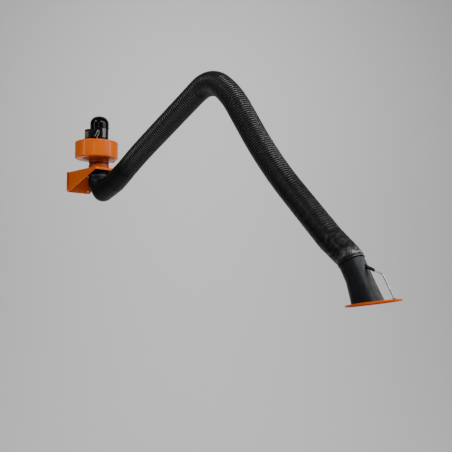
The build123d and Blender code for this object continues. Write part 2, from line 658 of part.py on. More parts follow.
def slide_ring():
    """The plastic ring that the swivel's flange turns against."""
    return on_axis(-SHEET_THICKNESS - SLIDE_RING_THICKNESS, SWIVEL_FLANGE_RADIUS,
                   SLIDE_RING_THICKNESS - FIT_GAP, DUCT_BORE)


def swivel_levels():
    """Top and bottom of the swivel's flange."""
    top = -SHEET_THICKNESS - SLIDE_RING_THICKNESS - SEAT_GAP
    return top, top - SWIVEL_FLANGE_THICKNESS


def turn_ring():
    """The ring under the top plate whose lip carries the swivel's flange."""
    low = swivel_levels()[1] - SEAT_GAP
    top = -SHEET_THICKNESS - FIT_GAP
    ring = on_axis(low, TURN_RING_RADIUS, top - low, SWIVEL_FLANGE_RADIUS + SEAT_GAP)
    ring += on_axis(low - TURN_LIP_THICKNESS, TURN_RING_RADIUS, TURN_LIP_THICKNESS,
                    DUCT_RADIUS + SEAT_GAP)
    edge = ring.edges().filter_by(GeomType.CIRCLE).group_by(Axis.Z)[0]
    return fillet(edge.sort_by(SortBy.RADIUS)[-1], EDGE_ROUND)


def swivel_spigot():
    """The turning spigot that the boot is clamped to."""
    top, low = swivel_levels()
    spigot = on_axis(low, SWIVEL_FLANGE_RADIUS, top - low, DUCT_BORE)
    return spigot + on_axis(-SPIGOT_LENGTH, DUCT_RADIUS, SPIGOT_LENGTH + low, DUCT_BORE)


def swivel_yoke():
    """A strap across the spigot with the two cheeks that hold the shoulder's pin."""
    level = -SPIGOT_LENGTH + STRAP_HEIGHT / 2
    strap = Pos(*at(0, level)) * Box(DUCT_RADIUS * 2, STRAP_THICKNESS, STRAP_HEIGHT)
    strap &= on_axis(-SPIGOT_LENGTH, DUCT_BORE - FIT_GAP, STRAP_HEIGHT)
    head = Vector(0, SHOULDER_DROP - SPIGOT_LENGTH + STRAP_HEIGHT / 2) - Vector(SHOULDER_OUT, 0)
    plane = side_plane(SHOULDER)
    outline = make_hull(Circle(YOKE_EYE_RADIUS).edges()
                        + (Pos(head.X, head.Y) * Rectangle(STRAP_HEIGHT, STRAP_HEIGHT)).edges())
    yoke = strap
    for turn in (1, -1):
        offset_x = turn * (YOKE_GAP / 2 + YOKE_CHEEK / 2)
        yoke += Pos(offset_x, 0, 0) * extrude(plane * outline, YOKE_CHEEK / 2, both=True)
    bore = rod(SHOULDER - X_AXIS * YOKE_GAP, SHOULDER + X_AXIS * YOKE_GAP, PIN_RADIUS + RUN_GAP)
    return yoke - bore


def joint_pin(middle, half_width):
    """The pin of a shoulder or elbow, with its two heads."""
    reach = half_width + FIT_GAP
    return cross_pin(middle, X_AXIS, reach, PIN_RADIUS, PIN_HEAD_RADIUS, PIN_HEAD_HEIGHT)


def friction_discs(middle, gap, radius):
    """Two friction discs, one each side of the tongue."""
    thickness = (gap - TONGUE_THICKNESS) / 2 - SEAT_GAP * 2
    discs = []
    for turn in (1, -1):
        inner = middle + X_AXIS * (turn * (TONGUE_THICKNESS / 2 + SEAT_GAP))
        disc = rod(inner, inner + X_AXIS * (turn * thickness), radius)
        discs.append(disc - rod(middle - X_AXIS * gap, middle + X_AXIS * gap,
                                PIN_RADIUS + RUN_GAP))
    return Compound(children=discs)


def tongue(middle, direction):
    """The eye that turns between two cheeks, with the plug that fills the tube's end."""
    plane = Plane(origin=middle, x_dir=direction, z_dir=(-1, 0, 0))
    eye = Circle(FORK_EYE_RADIUS).edges() + (
        Pos(TONGUE_LENGTH, 0) * Rectangle(EDGE_ROUND, ARM_TUBE_RADIUS * 2)).edges()
    body = extrude(plane * make_hull(eye), TONGUE_THICKNESS / 2, both=True)
    start = middle + direction * TONGUE_LENGTH
    plug = rod(start, start + direction * PLUG_LENGTH, ARM_TUBE_RADIUS - ARM_TUBE_WALL - FIT_GAP)
    bore = rod(middle - X_AXIS * TONGUE_THICKNESS, middle + X_AXIS * TONGUE_THICKNESS,
               PIN_RADIUS + RUN_GAP)
    return body + plug - bore


def arm_tube(start, end):
    """A plain steel tube between two points."""
    outside = rod(start, end, ARM_TUBE_RADIUS)
    run = (end - start).normalized()
    return outside - rod(start - run * OVERRUN, end + run * OVERRUN,
                         ARM_TUBE_RADIUS - ARM_TUBE_WALL)


def tube_ends(first, last, direction):
    """Where a tube starts after its tongue and ends before its fork."""
    return (first + direction * (TONGUE_LENGTH + FIT_GAP + EDGE_ROUND),
            last - direction * (FORK_REACH + FIT_GAP))


def fork(middle, direction, gap, cheek, eye_radius, reach, pin_radius):
    """Two cheeks about a joint, with the web and plug that join them to the tube behind."""
    plane = Plane(origin=middle, x_dir=-direction, z_dir=(-1, 0, 0))
    foot = Pos(reach - cheek / 2, 0) * Rectangle(cheek, ARM_TUBE_RADIUS * 2)
    outline = make_hull(Circle(eye_radius).edges() + foot.edges())
    body = None
    for turn in (1, -1):
        side = Pos(turn * (gap + cheek) / 2, 0, 0) * extrude(plane * outline, cheek / 2,
                                                            both=True)
        body = side if body is None else body + side
    back = Plane(origin=middle - direction * reach, x_dir=(1, 0, 0), z_dir=direction)
    body += extrude(back * Rectangle(gap + cheek * 2, ARM_TUBE_RADIUS * 2), cheek)
    body += extrude(back * Circle(ARM_TUBE_RADIUS - ARM_TUBE_WALL - FIT_GAP), -PLUG_LENGTH)
    bore = rod(middle - X_AXIS * gap, middle + X_AXIS * gap, pin_radius + RUN_GAP)
    return body - bore


def return_spring(middle, gap):
    """The balancing spring's closed coil, on the pin's end outside a cheek."""
    inner = PIN_HEAD_RADIUS + FIT_GAP
    start = middle + X_AXIS * (gap / 2 + YOKE_CHEEK + SEAT_GAP)
    end = start + X_AXIS * (SPRING_RADIUS + SPRING_WALL)
    return rod(start, end, SPRING_RADIUS) - rod(start - X_AXIS * OVERRUN, end + X_AXIS * OVERRUN,
                                                inner)


def hoop(middle, direction, bore):
    """A ring on three spokes from the arm's tube, round the hose's own middle line."""
    turn = along_hose(middle, direction)
    plane = across(middle - direction * (HOOP_WIDTH / 2), direction)
    ring_plane = across(turn - direction * (HOOP_WIDTH / 2), direction)
    radius = bore - HOOP_EASE
    hub_radius = ARM_TUBE_RADIUS + FIT_GAP
    hub = Circle(hub_radius + HOOP_HUB_WALL)
    wheel = extrude(plane * hub, HOOP_WIDTH)
    for step in range(3):
        spoke = Rot(0, 0, 90 + step * 120) * Pos(radius, 0) * Rectangle(radius * 2, HOOP_SPOKE)
        wheel += extrude(plane * spoke, HOOP_WIDTH)
    wheel &= extrude(ring_plane * Circle(radius - HOOP_WALL / 2), HOOP_WIDTH)
    wheel += extrude(ring_plane * (Circle(radius) - Circle(radius - HOOP_WALL)), HOOP_WIDTH)
    return wheel - extrude(plane.offset(-OVERRUN) * Circle(hub_radius), HOOP_WIDTH * 4)


# Hose.

def section(place, direction, radius):
    """One circle of the hose."""
    return across(place, direction) * Circle(radius)


def arc_point(start, rise, radius, turn):
    """Where an arc from a point ends, and its rise there; a positive turn bends down."""
    sign = 1 if turn > 0 else -1
    first, last = radians(rise), radians(rise - turn)
    out = (sin(first) - sin(last)) * radius * sign
    up = (cos(last) - cos(first)) * radius * sign
    return start + Vector(0, -out, up), rise - turn


# The route of the hose's middle line from the boot's end: lengths, radii and turns.
HOSE_ROUTE = [
    (ROOT_STRAIGHT, 0, 0),
    (0, EASE_RADIUS, ROOT_RISE - HOSE_RISE),
    (LONG_STRAIGHT + BEND_STRAIGHT, 0, 0),
    (0, BEND_RADIUS, HOSE_RISE + BEND_FALL),
    (0, SHOULDER_BEND_RADIUS, DROP_FALL - BEND_FALL),
    (DROP_STRAIGHT, 0, 0),
    (0, SAG_RADIUS, TAIL_FALL - DROP_FALL),
    (TAIL_STRAIGHT, 0, 0),
]


def place_of(distance):
    """A place and the hose's direction there."""
    spot, rise = hose_place(distance)
    return spot, along(rise)


def stretch_length(stretch):
    """The length of one stretch of the route."""
    straight, radius, turn = stretch
    return straight + radius * radians(abs(turn))


def hose_place(distance):
    """A place and rise on the hose's middle line, by the distance from the boot's end."""
    spot, rise = at(BOOT_END_OUT, -BOOT_END_DROP), ROOT_RISE
    for index, stretch in enumerate(HOSE_ROUTE):
        straight, radius, turn = stretch
        length = stretch_length(stretch)
        reach = distance if index == len(HOSE_ROUTE) - 1 else min(distance, length)
        if radius and reach > 0:
            spot, rise = arc_point(spot, rise, radius, turn * reach / length)
        elif not radius:
            spot = spot + along(rise) * reach
        distance -= reach
        if distance <= 0:
            break
    return spot, rise


def route_end(count):
    """The distance at which the first stretches of the route end."""
    return sum(stretch_length(stretch) for stretch in HOSE_ROUTE[:count])


def route_wire(first, last):
    """The hose's middle line between two distances, as straight lines and arcs."""
    stops = [0]
    for count in range(1, len(HOSE_ROUTE) + 1):
        stops.append(route_end(count))
    wire = None
    for start, end, stretch in zip(stops, stops[1:], HOSE_ROUTE):
        low = first if start == 0 else max(first, start)
        high = min(last, end)
        if high <= low:
            continue
        ends = [hose_place(d)[0] for d in (low, (low + high) / 2, high)]
        piece = ThreePointArc(*ends) if stretch[1] else Line(ends[0], ends[2])
        wire = piece if wire is None else wire + piece
    return wire


def along_hose(middle, direction):
    """The hose's middle line where a plane square to the arm's tube crosses it."""
    distance = (middle - hose_place(0)[0]).dot(direction)
    for _ in range(len(HOSE_ROUTE) * 2):
        distance += (middle - hose_place(distance)[0]).dot(direction)
    return hose_place(distance)[0]


def ribbed(first, last, pitch, start_radius, end_radius):
    """A ribbed skin along the route: each rib rises from its root to a crest and back."""
    count = max(1, round((last - first) / pitch))
    step = (last - first) / count
    rings = []
    for index in range(count * 2 + 1):
        share = index / (count * 2)
        spot, rise = hose_place(first + index * step / 2)
        crest = start_radius + (end_radius - start_radius) * share
        rings.append(section(spot, along(rise), crest if index % 2 else crest - RIB_DEPTH))
    return loft(rings, ruled=True), count


def bored(skin, first, last, radius):
    """A hose's skin with its bore cut along the route."""
    spot, rise = hose_place(first)
    return skin - sweep(section(spot, along(rise), radius), path=route_wire(first, last))


def boot_solid(radius, start_cut=0.0, end_cut=0.0):
    """The boot's bulk: straight down, leaning outwards, round its corner and up the arm."""
    corners = [at(0, -BOOT_LEAN_DROP), at(BOOT_CORNER_OUT, -BOOT_CORNER_DROP),
               at(BOOT_KNEE_OUT, -BOOT_KNEE_DROP),
               at(BOOT_END_OUT, -BOOT_END_DROP) + along(ROOT_RISE) * end_cut]
    body = rod(at(0, -BOOT_TOP_DROP + start_cut), corners[0], radius)
    for before, after in zip(corners, corners[1:]):
        body += Pos(*before) * Sphere(radius)
        body += rod(before, after, radius)
    return body


def shoulder_boot():
    """The smooth boot over the shoulder, from the swivel's spigot to the ribbed hose."""
    boot = boot_solid(BOOT_RADIUS) - boot_solid(BOOT_BORE, OVERRUN, OVERRUN)
    top = on_axis(-BOOT_TOP_DROP, BOOT_RADIUS * 2, BOOT_RADIUS * 2)
    return (boot - top).solids().sort_by(SortBy.VOLUME)[-1]


def lower_hose():
    """The ribbed hose round the lower arm, from inside the boot's end."""
    last = route_end(3) - BEND_STRAIGHT - SEAT_GAP
    skin, count = ribbed(-BOOT_LAP, last, LOWER_RIB_PITCH, LOWER_HOSE_RADIUS,
                         LOWER_HOSE_RADIUS)
    print("lower hose: ribs", count)
    return bored(skin, -BOOT_LAP, last, lower_bore())


def lower_bore():
    """The bore of the hose round the lower arm and the elbow."""
    return LOWER_HOSE_RADIUS - RIB_DEPTH - HOSE_WALL


def upper_bore():
    """The bore of the hose round the upper arm."""
    return TAIL_HOSE_RADIUS - RIB_DEPTH - HOSE_WALL


def elbow_hose():
    """The ribbed hose that bends over the elbow and widens a little."""
    first, last = route_end(3) - BEND_STRAIGHT, route_end(5)
    skin, count = ribbed(first, last, LOWER_RIB_PITCH, LOWER_HOSE_RADIUS, UPPER_HOSE_RADIUS)
    print("elbow hose: ribs", count)
    return bored(skin, first, last, lower_bore())


def upper_hose():
    """The hose along the upper arm: ribbed down to its sag, plain fabric below."""
    first, sag, tail = route_end(5) + SEAT_GAP, route_end(6), route_end(7)
    ribs_to = sag + (tail - sag) * RIBBED_SAG_SHARE
    last = route_end(8) - SEAT_GAP
    skin, count = ribbed(first, ribs_to, UPPER_RIB_PITCH, UPPER_HOSE_RADIUS, TAIL_HOSE_RADIUS)
    print("upper hose: ribs", count)
    stops = [ribs_to + (tail - ribs_to) * share for share in (0, 1 / 3, 2 / 3, 1)] + [last]
    root, full = TAIL_HOSE_RADIUS - RIB_DEPTH, TAIL_HOSE_RADIUS - HOSE_WALL
    plain = loft([section(*place_of(stop), full if index else root)
                  for index, stop in enumerate(stops)], ruled=True)
    return bored(skin + plain, first, last, upper_bore())


def wrist_hose():
    """The hose's soft end, which bends and narrows onto the hood's neck."""
    start, rise = hose_place(route_end(8))
    neck = WRIST - HOOD_DIR * (HOOD_TOP_RISE + FIT_GAP)
    fall = -HOOD_FALL - rise
    stations = [(start, rise, 0)]
    for share, turn in WRIST_SHARES:
        stations.append((start + (neck - start) * share, rise + fall * turn, share))
    stations += [(neck, -HOOD_FALL, 1), (WRIST + HOOD_DIR * CUFF_DROP, -HOOD_FALL, 1)]

    def skin(first, last):
        rings = [section(spot, along(angle), first + (last - first) * share)
                 for spot, angle, share in stations]
        return loft(rings[:-2] + [hung_over(ring) for ring in rings[-2:]], ruled=True)

    neck_bore = HOOD_TOP_RADIUS + FIT_GAP
    return skin(TAIL_HOSE_RADIUS - HOSE_WALL, CUFF_RADIUS) - skin(upper_bore(), neck_bore)


def band(middle, direction, inner):
    """A worm-drive band with its screw housing, round a hose's end."""
    plane = across(middle - direction * (CLAMP_WIDTH / 2), direction)
    outer = inner + CLAMP_THICKNESS
    clamp = extrude(plane * (Circle(outer) - Circle(inner)), CLAMP_WIDTH)
    housing = plane * Pos(outer + CLAMP_BOX / 4, 0) * Rectangle(CLAMP_BOX / 2 + CLAMP_THICKNESS,
                                                               CLAMP_BOX)
    return clamp + extrude(housing, CLAMP_WIDTH)


# Hood.

def hood_sections(inset):
    """The hood's outline from its round neck to the egg-shaped mouth."""
    neck = WRIST - HOOD_DIR * HOOD_TOP_RISE
    waist = neck + HOOD_DIR * HOOD_TUBE_LENGTH
    mouth = Plane(origin=MOUTH, x_dir=(1, 0, 0), z_dir=MOUTH_DIR)
    return [section(neck, HOOD_DIR, HOOD_TOP_RADIUS - inset),
            section(waist, HOOD_DIR, HOOD_TOP_RADIUS - inset),
            mouth * Ellipse(HOOD_MOUTH_HALF_WIDTH - inset, HOOD_MOUTH_HALF_DEPTH - inset)]


def hood_skin(inset):
    """The hood as a solid: a straight neck that flares into the mouth."""
    neck, waist, mouth = hood_sections(inset)
    return loft([neck, waist], ruled=True) + loft([waist, mouth])


def hood_shell():
    """The hood's black shell: round neck, flared mouth and the damper's two holes."""
    inner = hood_skin(HOOD_WALL)
    neck, waist, mouth = hood_sections(HOOD_WALL)
    inner += extrude(neck, -OVERRUN) + extrude(mouth, OVERRUN)
    shell = hood_skin(0)
    axis = damper_middle()
    bush = axis + X_AXIS * HOOD_MOUTH_HALF_WIDTH
    shell += rod(axis + X_AXIS * DAMPER_RADIUS, bush, DAMPER_BUSH)
    shell -= inner
    return shell - rod(axis - X_AXIS * (damper_blind_end() + RUN_GAP), bush + X_AXIS * OVERRUN,
                       DAMPER_SHAFT_RADIUS + RUN_GAP)


def hood_ring():
    """The orange ring under the mouth: a flat plate with a turned-down rim."""
    mouth = Plane(origin=MOUTH, x_dir=(1, 0, 0), z_dir=MOUTH_DIR)
    plane = Plane(origin=MOUTH + MOUTH_OUT_DIR * RING_SHIFT, x_dir=(1, 0, 0), z_dir=MOUTH_DIR)
    top = plane.offset(SEAT_GAP)
    disc = extrude(top * Circle(RING_RADIUS), RING_THICKNESS + RING_RIM)
    edge = disc.edges().filter_by(GeomType.CIRCLE).sort_by_distance(top.origin)[0]
    disc = chamfer(edge, RING_THICKNESS / 2)
    disc -= extrude(top.offset(RING_THICKNESS) * Circle(RING_RADIUS - RING_THICKNESS),
                    RING_RIM + OVERRUN)
    opening = Ellipse(HOOD_MOUTH_HALF_WIDTH - RING_LIP, HOOD_MOUTH_HALF_DEPTH - RING_LIP)
    return disc - extrude(mouth * opening, OVERRUN, both=True)


def damper_middle():
    """The middle of the damper's shaft."""
    return WRIST + HOOD_DIR * DAMPER_DROP


def damper_blind_end():
    """How far the damper's shaft reaches into its socket, on the side without a lever."""
    top = damper_middle() - (WRIST - HOOD_DIR * HOOD_TOP_RISE)
    share = (top.length - HOOD_TUBE_LENGTH) / (MOUTH - WRIST).length
    flare = (HOOD_MOUTH_HALF_WIDTH - HOOD_TOP_RADIUS) * share
    return HOOD_TOP_RADIUS + flare - HOOD_WALL + DAMPER_SOCKET


def damper_blade():
    """The butterfly blade on its shaft, standing along the flow."""
    middle = damper_middle()
    plane = Plane(origin=middle, x_dir=(1, 0, 0), z_dir=HOOD_OUT_DIR)
    blade = extrude(plane * Circle(DAMPER_RADIUS), DAMPER_THICKNESS / 2, both=True)
    reach = HOOD_MOUTH_HALF_WIDTH + LEVER_THICKNESS + SEAT_GAP
    blade += rod(middle - X_AXIS * damper_blind_end(), middle + X_AXIS * reach,
                 DAMPER_SHAFT_RADIUS)
    hub = X_AXIS * (DAMPER_RADIUS / 2)
    return blade + rod(middle - hub, middle + hub, DAMPER_HUB)


def damper_lever():
    """The lever and knob on the damper's shaft, on the hood's far side."""
    start = damper_middle() + X_AXIS * (HOOD_MOUTH_HALF_WIDTH + SEAT_GAP)
    plane = Plane(origin=start, x_dir=-HOOD_DIR, z_dir=(1, 0, 0))
    outline = make_hull(Circle(LEVER_WIDTH * 2 / 3).edges()
                        + (Pos(LEVER_LENGTH, 0) * Circle(LEVER_WIDTH / 2)).edges())
    lever = extrude(plane * outline, LEVER_THICKNESS)
    lever -= extrude(plane * Circle(DAMPER_SHAFT_RADIUS + FIT_GAP), LEVER_THICKNESS + OVERRUN)
    knob = plane.offset(LEVER_THICKNESS) * Pos(LEVER_LENGTH, 0) * Circle(LEVER_KNOB_RADIUS)
    return lever + extrude(knob, LEVER_KNOB_LENGTH)


def hood_handle():
    """The bent bar from the ring up to the boss on the hood's neck."""
    foot = (MOUTH + MOUTH_OUT_DIR * (RING_SHIFT + HANDLE_FOOT_SHIFT)
            + MOUTH_DIR * (SEAT_GAP - FIT_GAP))
    knee = at(HANDLE_KNEE_OUT, -HANDLE_KNEE_DROP)
    end = at(HANDLE_END_OUT, -HANDLE_END_DROP)
    path = FilletPolyline(foot, knee, end, radius=HANDLE_BEND)
    bar = sweep(Plane(origin=path @ 0, x_dir=(1, 0, 0), z_dir=path % 0) * Circle(HANDLE_RADIUS),
                path=path)
    plane = Plane(origin=foot, x_dir=(1, 0, 0), z_dir=-MOUTH_DIR)
    bar = bar + extrude(plane * Circle(HANDLE_FOOT_RADIUS), HANDLE_FOOT_HEIGHT)
    under = Plane(origin=foot, x_dir=(1, 0, 0), z_dir=MOUTH_DIR)
    return bar - extrude(under * Circle(HANDLE_FOOT_RADIUS * 2), HANDLE_FOOT_HEIGHT * 2)


def handle_boss():
    """The black boss that carries the handle's upper end on the hood."""
    end = at(HANDLE_END_OUT, -HANDLE_END_DROP)
    run = (end - at(HANDLE_KNEE_OUT, -HANDLE_KNEE_DROP)).normalized()
    boss = rod(end - run * OVERRUN, end + run * (HOOD_TOP_RADIUS), BOSS_RADIUS)
    boss -= rod(end - run * OVERRUN * 2, end + run * FIT_GAP, HANDLE_RADIUS + FIT_GAP)
    boss -= hood_skin(-FIT_GAP)
    return boss.solids().sort_by(lambda s: (s.center() - end).length)[0]


def wrist_block():
    """The cross piece of the wrist: one bore for tilting and one for rolling."""
    plane = Plane(origin=WRIST - HOOD_DIR * (BLOCK_SIZE / 2), x_dir=(1, 0, 0), z_dir=HOOD_DIR)
    block = extrude(plane * RectangleRounded(BLOCK_SIZE, BLOCK_SIZE, EDGE_ROUND),
                    BLOCK_SIZE + BLOCK_DROP)
    block -= rod(WRIST - X_AXIS * BLOCK_SIZE, WRIST + X_AXIS * BLOCK_SIZE,
                 WRIST_PIN_RADIUS + RUN_GAP)
    roll = roll_middle()
    return block - rod(roll - HOOD_OUT_DIR * BLOCK_SIZE, roll + HOOD_OUT_DIR * BLOCK_SIZE,
                       WRIST_PIN_RADIUS + RUN_GAP)


def roll_middle():
    """The middle of the pin that the hood rolls about."""
    return WRIST + HOOD_DIR * BLOCK_DROP


def wrist_pin(middle, axis):
    """A wrist pin with its heads outside the cheeks."""
    reach = BLOCK_SIZE / 2 + SEAT_GAP + WRIST_CHEEK + FIT_GAP
    return cross_pin(middle, axis, reach, WRIST_PIN_RADIUS, WRIST_PIN_HEAD, WRIST_CHEEK)


def hood_stem():
    """The hood's own fork, stem and the bar across its neck that carries it."""
    roll = roll_middle()
    gap = BLOCK_SIZE + SEAT_GAP * 2
    plane = Plane(origin=roll, x_dir=HOOD_DIR, z_dir=HOOD_OUT_DIR)
    reach = BLOCK_SIZE / 2 + WRIST_EYE_RADIUS
    foot = Pos(reach + WRIST_CHEEK / 2, 0) * Rectangle(WRIST_CHEEK, BLOCK_SIZE)
    outline = make_hull(Circle(WRIST_EYE_RADIUS).edges() + foot.edges())
    stem = None
    for turn in (1, -1):
        shift = HOOD_OUT_DIR * (turn * (gap + WRIST_CHEEK) / 2)
        cheek = extrude(plane * outline, WRIST_CHEEK / 2, both=True).moved(Location(shift))
        stem = cheek if stem is None else stem + cheek
    base = Plane(origin=roll + HOOD_DIR * reach, x_dir=(1, 0, 0), z_dir=HOOD_DIR)
    stem += extrude(base * Rectangle(BLOCK_SIZE, gap + WRIST_CHEEK * 2), WRIST_CHEEK)
    stem += extrude(base * Circle(STEM_RADIUS), -(-WRIST_CHEEK - CROSSBAR_THICKNESS))
    bar = base.offset(WRIST_CHEEK) * Rectangle(HOOD_TOP_RADIUS * 2, CROSSBAR_WIDTH)
    neck_bore = base.offset(WRIST_CHEEK) * Circle(HOOD_TOP_RADIUS - HOOD_WALL - FIT_GAP)
    stem += extrude(bar, CROSSBAR_THICKNESS) & extrude(neck_bore, CROSSBAR_THICKNESS)
    return stem - rod(roll - HOOD_OUT_DIR * gap, roll + HOOD_OUT_DIR * gap,
                      WRIST_PIN_RADIUS + RUN_GAP)


# All pieces by name.

def hung_over(shape):
    """A piece of the hood, turned about the roll pin as the hood hangs."""
    return shape.rotate(Axis(roll_middle(), HOOD_OUT_DIR), HOOD_ROLL)


def pieces():
    """Every piece of the extractor, by its node's name."""
    lower_start, lower_end = tube_ends(SHOULDER, ELBOW, LOWER_DIR)
    upper_start, upper_end = tube_ends(ELBOW, WRIST, UPPER_DIR)
    wrist_gap = BLOCK_SIZE + SEAT_GAP * 2
    pin_half = YOKE_GAP / 2 + YOKE_CHEEK
    boot_band = at(0, -BOOT_TOP_DROP - CLAMP_WIDTH * 2 / 3)
    lower_third, upper_third = LOWER_ARM / 3, UPPER_ARM / 3
    return {
        "wall_bracket": wall_bracket(),
        "base_collar": base_collar(),
        "neck_sleeve": neck_sleeve(),
        "inlet_collar": inlet_collar(),
        "fan_housing": fan_housing(),
        "outlet_spigot": outlet_spigot(),
        "fan_lid": fan_lid(),
        "fan_wheel": fan_wheel(),
        "motor_shaft": motor_shaft(),
        "cooling_fan": cooling_fan(),
        "motor_body": motor_body(),
        "motor_cowl": motor_cowl(),
        "flange_screws": flange_screws(),
        "terminal_box": terminal_box(),
        "terminal_lid": terminal_lid(),
        "terminal_label": terminal_label(),
        "cable_gland": cable_gland(),
        "bonding_lead": bonding_lead(),
        "lead_foot": lead_foot(),
        "rating_plate": rating_plate(),
        "slide_ring": slide_ring(),
        "turn_ring": turn_ring(),
        "swivel_spigot": swivel_spigot(),
        "swivel_yoke": swivel_yoke(),
        "boot_band": band(boot_band, Vector(0, 0, -1), BOOT_RADIUS + FIT_GAP),
        "shoulder_boot": shoulder_boot(),
        "shoulder_pin": joint_pin(SHOULDER, pin_half),
        "shoulder_discs": friction_discs(SHOULDER, YOKE_GAP, YOKE_EYE_RADIUS),
        "shoulder_spring": return_spring(SHOULDER, YOKE_GAP),
        "lower_tongue": tongue(SHOULDER, LOWER_DIR),
        "lower_tube": arm_tube(lower_start, lower_end),
        "elbow_fork": fork(ELBOW, LOWER_DIR, YOKE_GAP, FORK_CHEEK, FORK_EYE_RADIUS, FORK_REACH,
                           PIN_RADIUS),
        "lower_hoop": hoop(SHOULDER + LOWER_DIR * lower_third, LOWER_DIR, lower_bore()),
        "middle_hoop": hoop(SHOULDER + LOWER_DIR * lower_third * 2, LOWER_DIR, lower_bore()),
        "lower_hose": lower_hose(),
        "elbow_pin": joint_pin(ELBOW, YOKE_GAP / 2 + FORK_CHEEK),
        "elbow_discs": friction_discs(ELBOW, YOKE_GAP, FORK_EYE_RADIUS),
        "elbow_spring": return_spring(ELBOW, YOKE_GAP),
        "elbow_hose": elbow_hose(),
        "upper_tongue": tongue(ELBOW, UPPER_DIR),
        "upper_tube": arm_tube(upper_start, upper_end),
        "wrist_fork": fork(WRIST, UPPER_DIR, wrist_gap, WRIST_CHEEK, WRIST_EYE_RADIUS,
                           FORK_REACH, WRIST_PIN_RADIUS),
        "upper_hoop": hoop(ELBOW + UPPER_DIR * upper_third, UPPER_DIR, upper_bore()),
        "tail_hoop": hoop(ELBOW + UPPER_DIR * upper_third * 2, UPPER_DIR, upper_bore()),
        "upper_hose": upper_hose(),
        "tilt_pin": wrist_pin(WRIST, X_AXIS),
        "wrist_block": wrist_block(),
        "roll_pin": wrist_pin(roll_middle(), HOOD_OUT_DIR),
        "hood_stem": hung_over(hood_stem()),
        "wrist_hose": wrist_hose(),
        "hood_band": hung_over(band(WRIST + HOOD_DIR * (CUFF_DROP - CLAMP_WIDTH * 2 / 3),
                                    HOOD_DIR, CUFF_RADIUS + FIT_GAP)),
        "hood_shell": hung_over(hood_shell()),
        "hood_ring": hung_over(hood_ring()),
        "hood_handle": hung_over(hood_handle()),
        "handle_boss": hung_over(handle_boss()),
        "damper_blade": hung_over(damper_blade()),
        "damper_lever": hung_over(damper_lever()),
    }


def main():
    os.makedirs("parts", exist_ok=True)
    for name, shape in pieces().items():
        export_step(shape, os.path.join("parts", name + ".step"))


main()
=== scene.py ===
"""The looks of the welding fume extractor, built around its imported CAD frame.

Metres, in the part's own frame. The arm stands in the plane x = 0. Places on it are given as
"out", millimetres from the swivel's axis away from the wall, and "up", millimetres over the
bracket's top face, as in the part's source.
"""

import json
import math

import bmesh
import bpy
import numpy as np
from mathutils import Matrix, Vector, noise


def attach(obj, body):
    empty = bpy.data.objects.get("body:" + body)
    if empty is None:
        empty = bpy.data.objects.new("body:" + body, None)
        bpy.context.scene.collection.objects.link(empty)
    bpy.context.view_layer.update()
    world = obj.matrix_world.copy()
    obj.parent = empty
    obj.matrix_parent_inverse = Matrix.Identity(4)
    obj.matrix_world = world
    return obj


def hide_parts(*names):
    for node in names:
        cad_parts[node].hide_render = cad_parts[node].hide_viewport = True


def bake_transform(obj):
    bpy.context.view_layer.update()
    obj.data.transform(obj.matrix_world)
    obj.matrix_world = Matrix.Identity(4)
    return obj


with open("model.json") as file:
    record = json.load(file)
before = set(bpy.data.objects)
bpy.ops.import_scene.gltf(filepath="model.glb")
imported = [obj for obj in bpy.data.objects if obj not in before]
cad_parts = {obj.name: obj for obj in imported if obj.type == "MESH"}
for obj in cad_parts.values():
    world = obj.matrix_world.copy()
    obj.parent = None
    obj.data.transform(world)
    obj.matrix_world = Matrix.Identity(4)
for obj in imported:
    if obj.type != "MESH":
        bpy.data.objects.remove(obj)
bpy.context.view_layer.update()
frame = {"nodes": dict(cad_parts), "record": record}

MM = 0.001
FULL_TURN = 2 * math.pi
X_AXIS = Vector((1, 0, 0))
Z_AXIS = Vector((0, 0, 1))

# Sizes that the part's source has too, in millimetres and degrees.
SWIVEL_REACH = 310.0     # from the wall to the swivel's axis
PLATE_LEVEL = 85.0       # the bracket's top face over the wall plate's middle
LOWER_RADIUS = 80.3      # the hose's, on the ribs' crests
UPPER_RADIUS = 84.5
BOOT_RADIUS = 84.5
BOOT_TOP_DROP = 51.0
COLLAR_RADIUS = 84.0
DRUM_RADIUS = 176.0
SCROLL_SHIFT = 15.0      # of the drum's middle from the swivel's axis, both ways
COWL_RADIUS = 76.5
HOOD_FALL = 63.5         # degrees below level of the hood's axis
HOOD_ROLL = 2.9          # degrees that the hood hangs over towards -X
ROLL_PIN_DROP = 36.0     # from the wrist's pin to the roll pin
WRIST_OUT, WRIST_UP = 2620.955, -837.032     # the wrist's pin, as worked out there
NECK_RADIUS = 75.5
NECK_RISE = 8.0          # from the wrist's pin up to the neck's edge
NECK_LENGTH = 122.0
HOOD_WALL = 3.0
MOUTH_OUT, MOUTH_UP = 2729.0, -1082.0
MOUTH_HALF_WIDTH = 84.0
MOUTH_HALF_DEPTH = 97.0
MOUTH_TILT = 6.9         # degrees that the mouth faces outwards


# Places and directions in the arm's plane.

def at(out, up, side=0.0):
    """A point from its reach, height and side, all in millimetres."""
    return Vector((side, -SWIVEL_REACH - out, PLATE_LEVEL + up)) * MM


def along(rise):
    """The direction that points outwards and rises by so many degrees."""
    angle = math.radians(rise)
    return Vector((0, -math.cos(angle), math.sin(angle)))


def over(rise):
    """The direction square to along(), on its upper side."""
    return along(rise + 90)


# Shares and curves.

def limited(share):
    return min(1.0, max(0.0, share))


def between(first, last, share):
    return first + (last - first) * share


def levelled(share):
    """A share that starts and ends level."""
    return share * share * (3 - 2 * share)


# Camera: the photograph's, found from its straight edges.
CAMERA_PLACE = Vector((-3462.76, -5741.02, -963.92)) * MM
CAMERA_YAW, CAMERA_PITCH = math.radians(41.87), math.radians(5.2)
FOCAL_PIXELS, PICTURE_WIDTH = 780.49, 452.0
SENSOR_WIDTH = 36.0


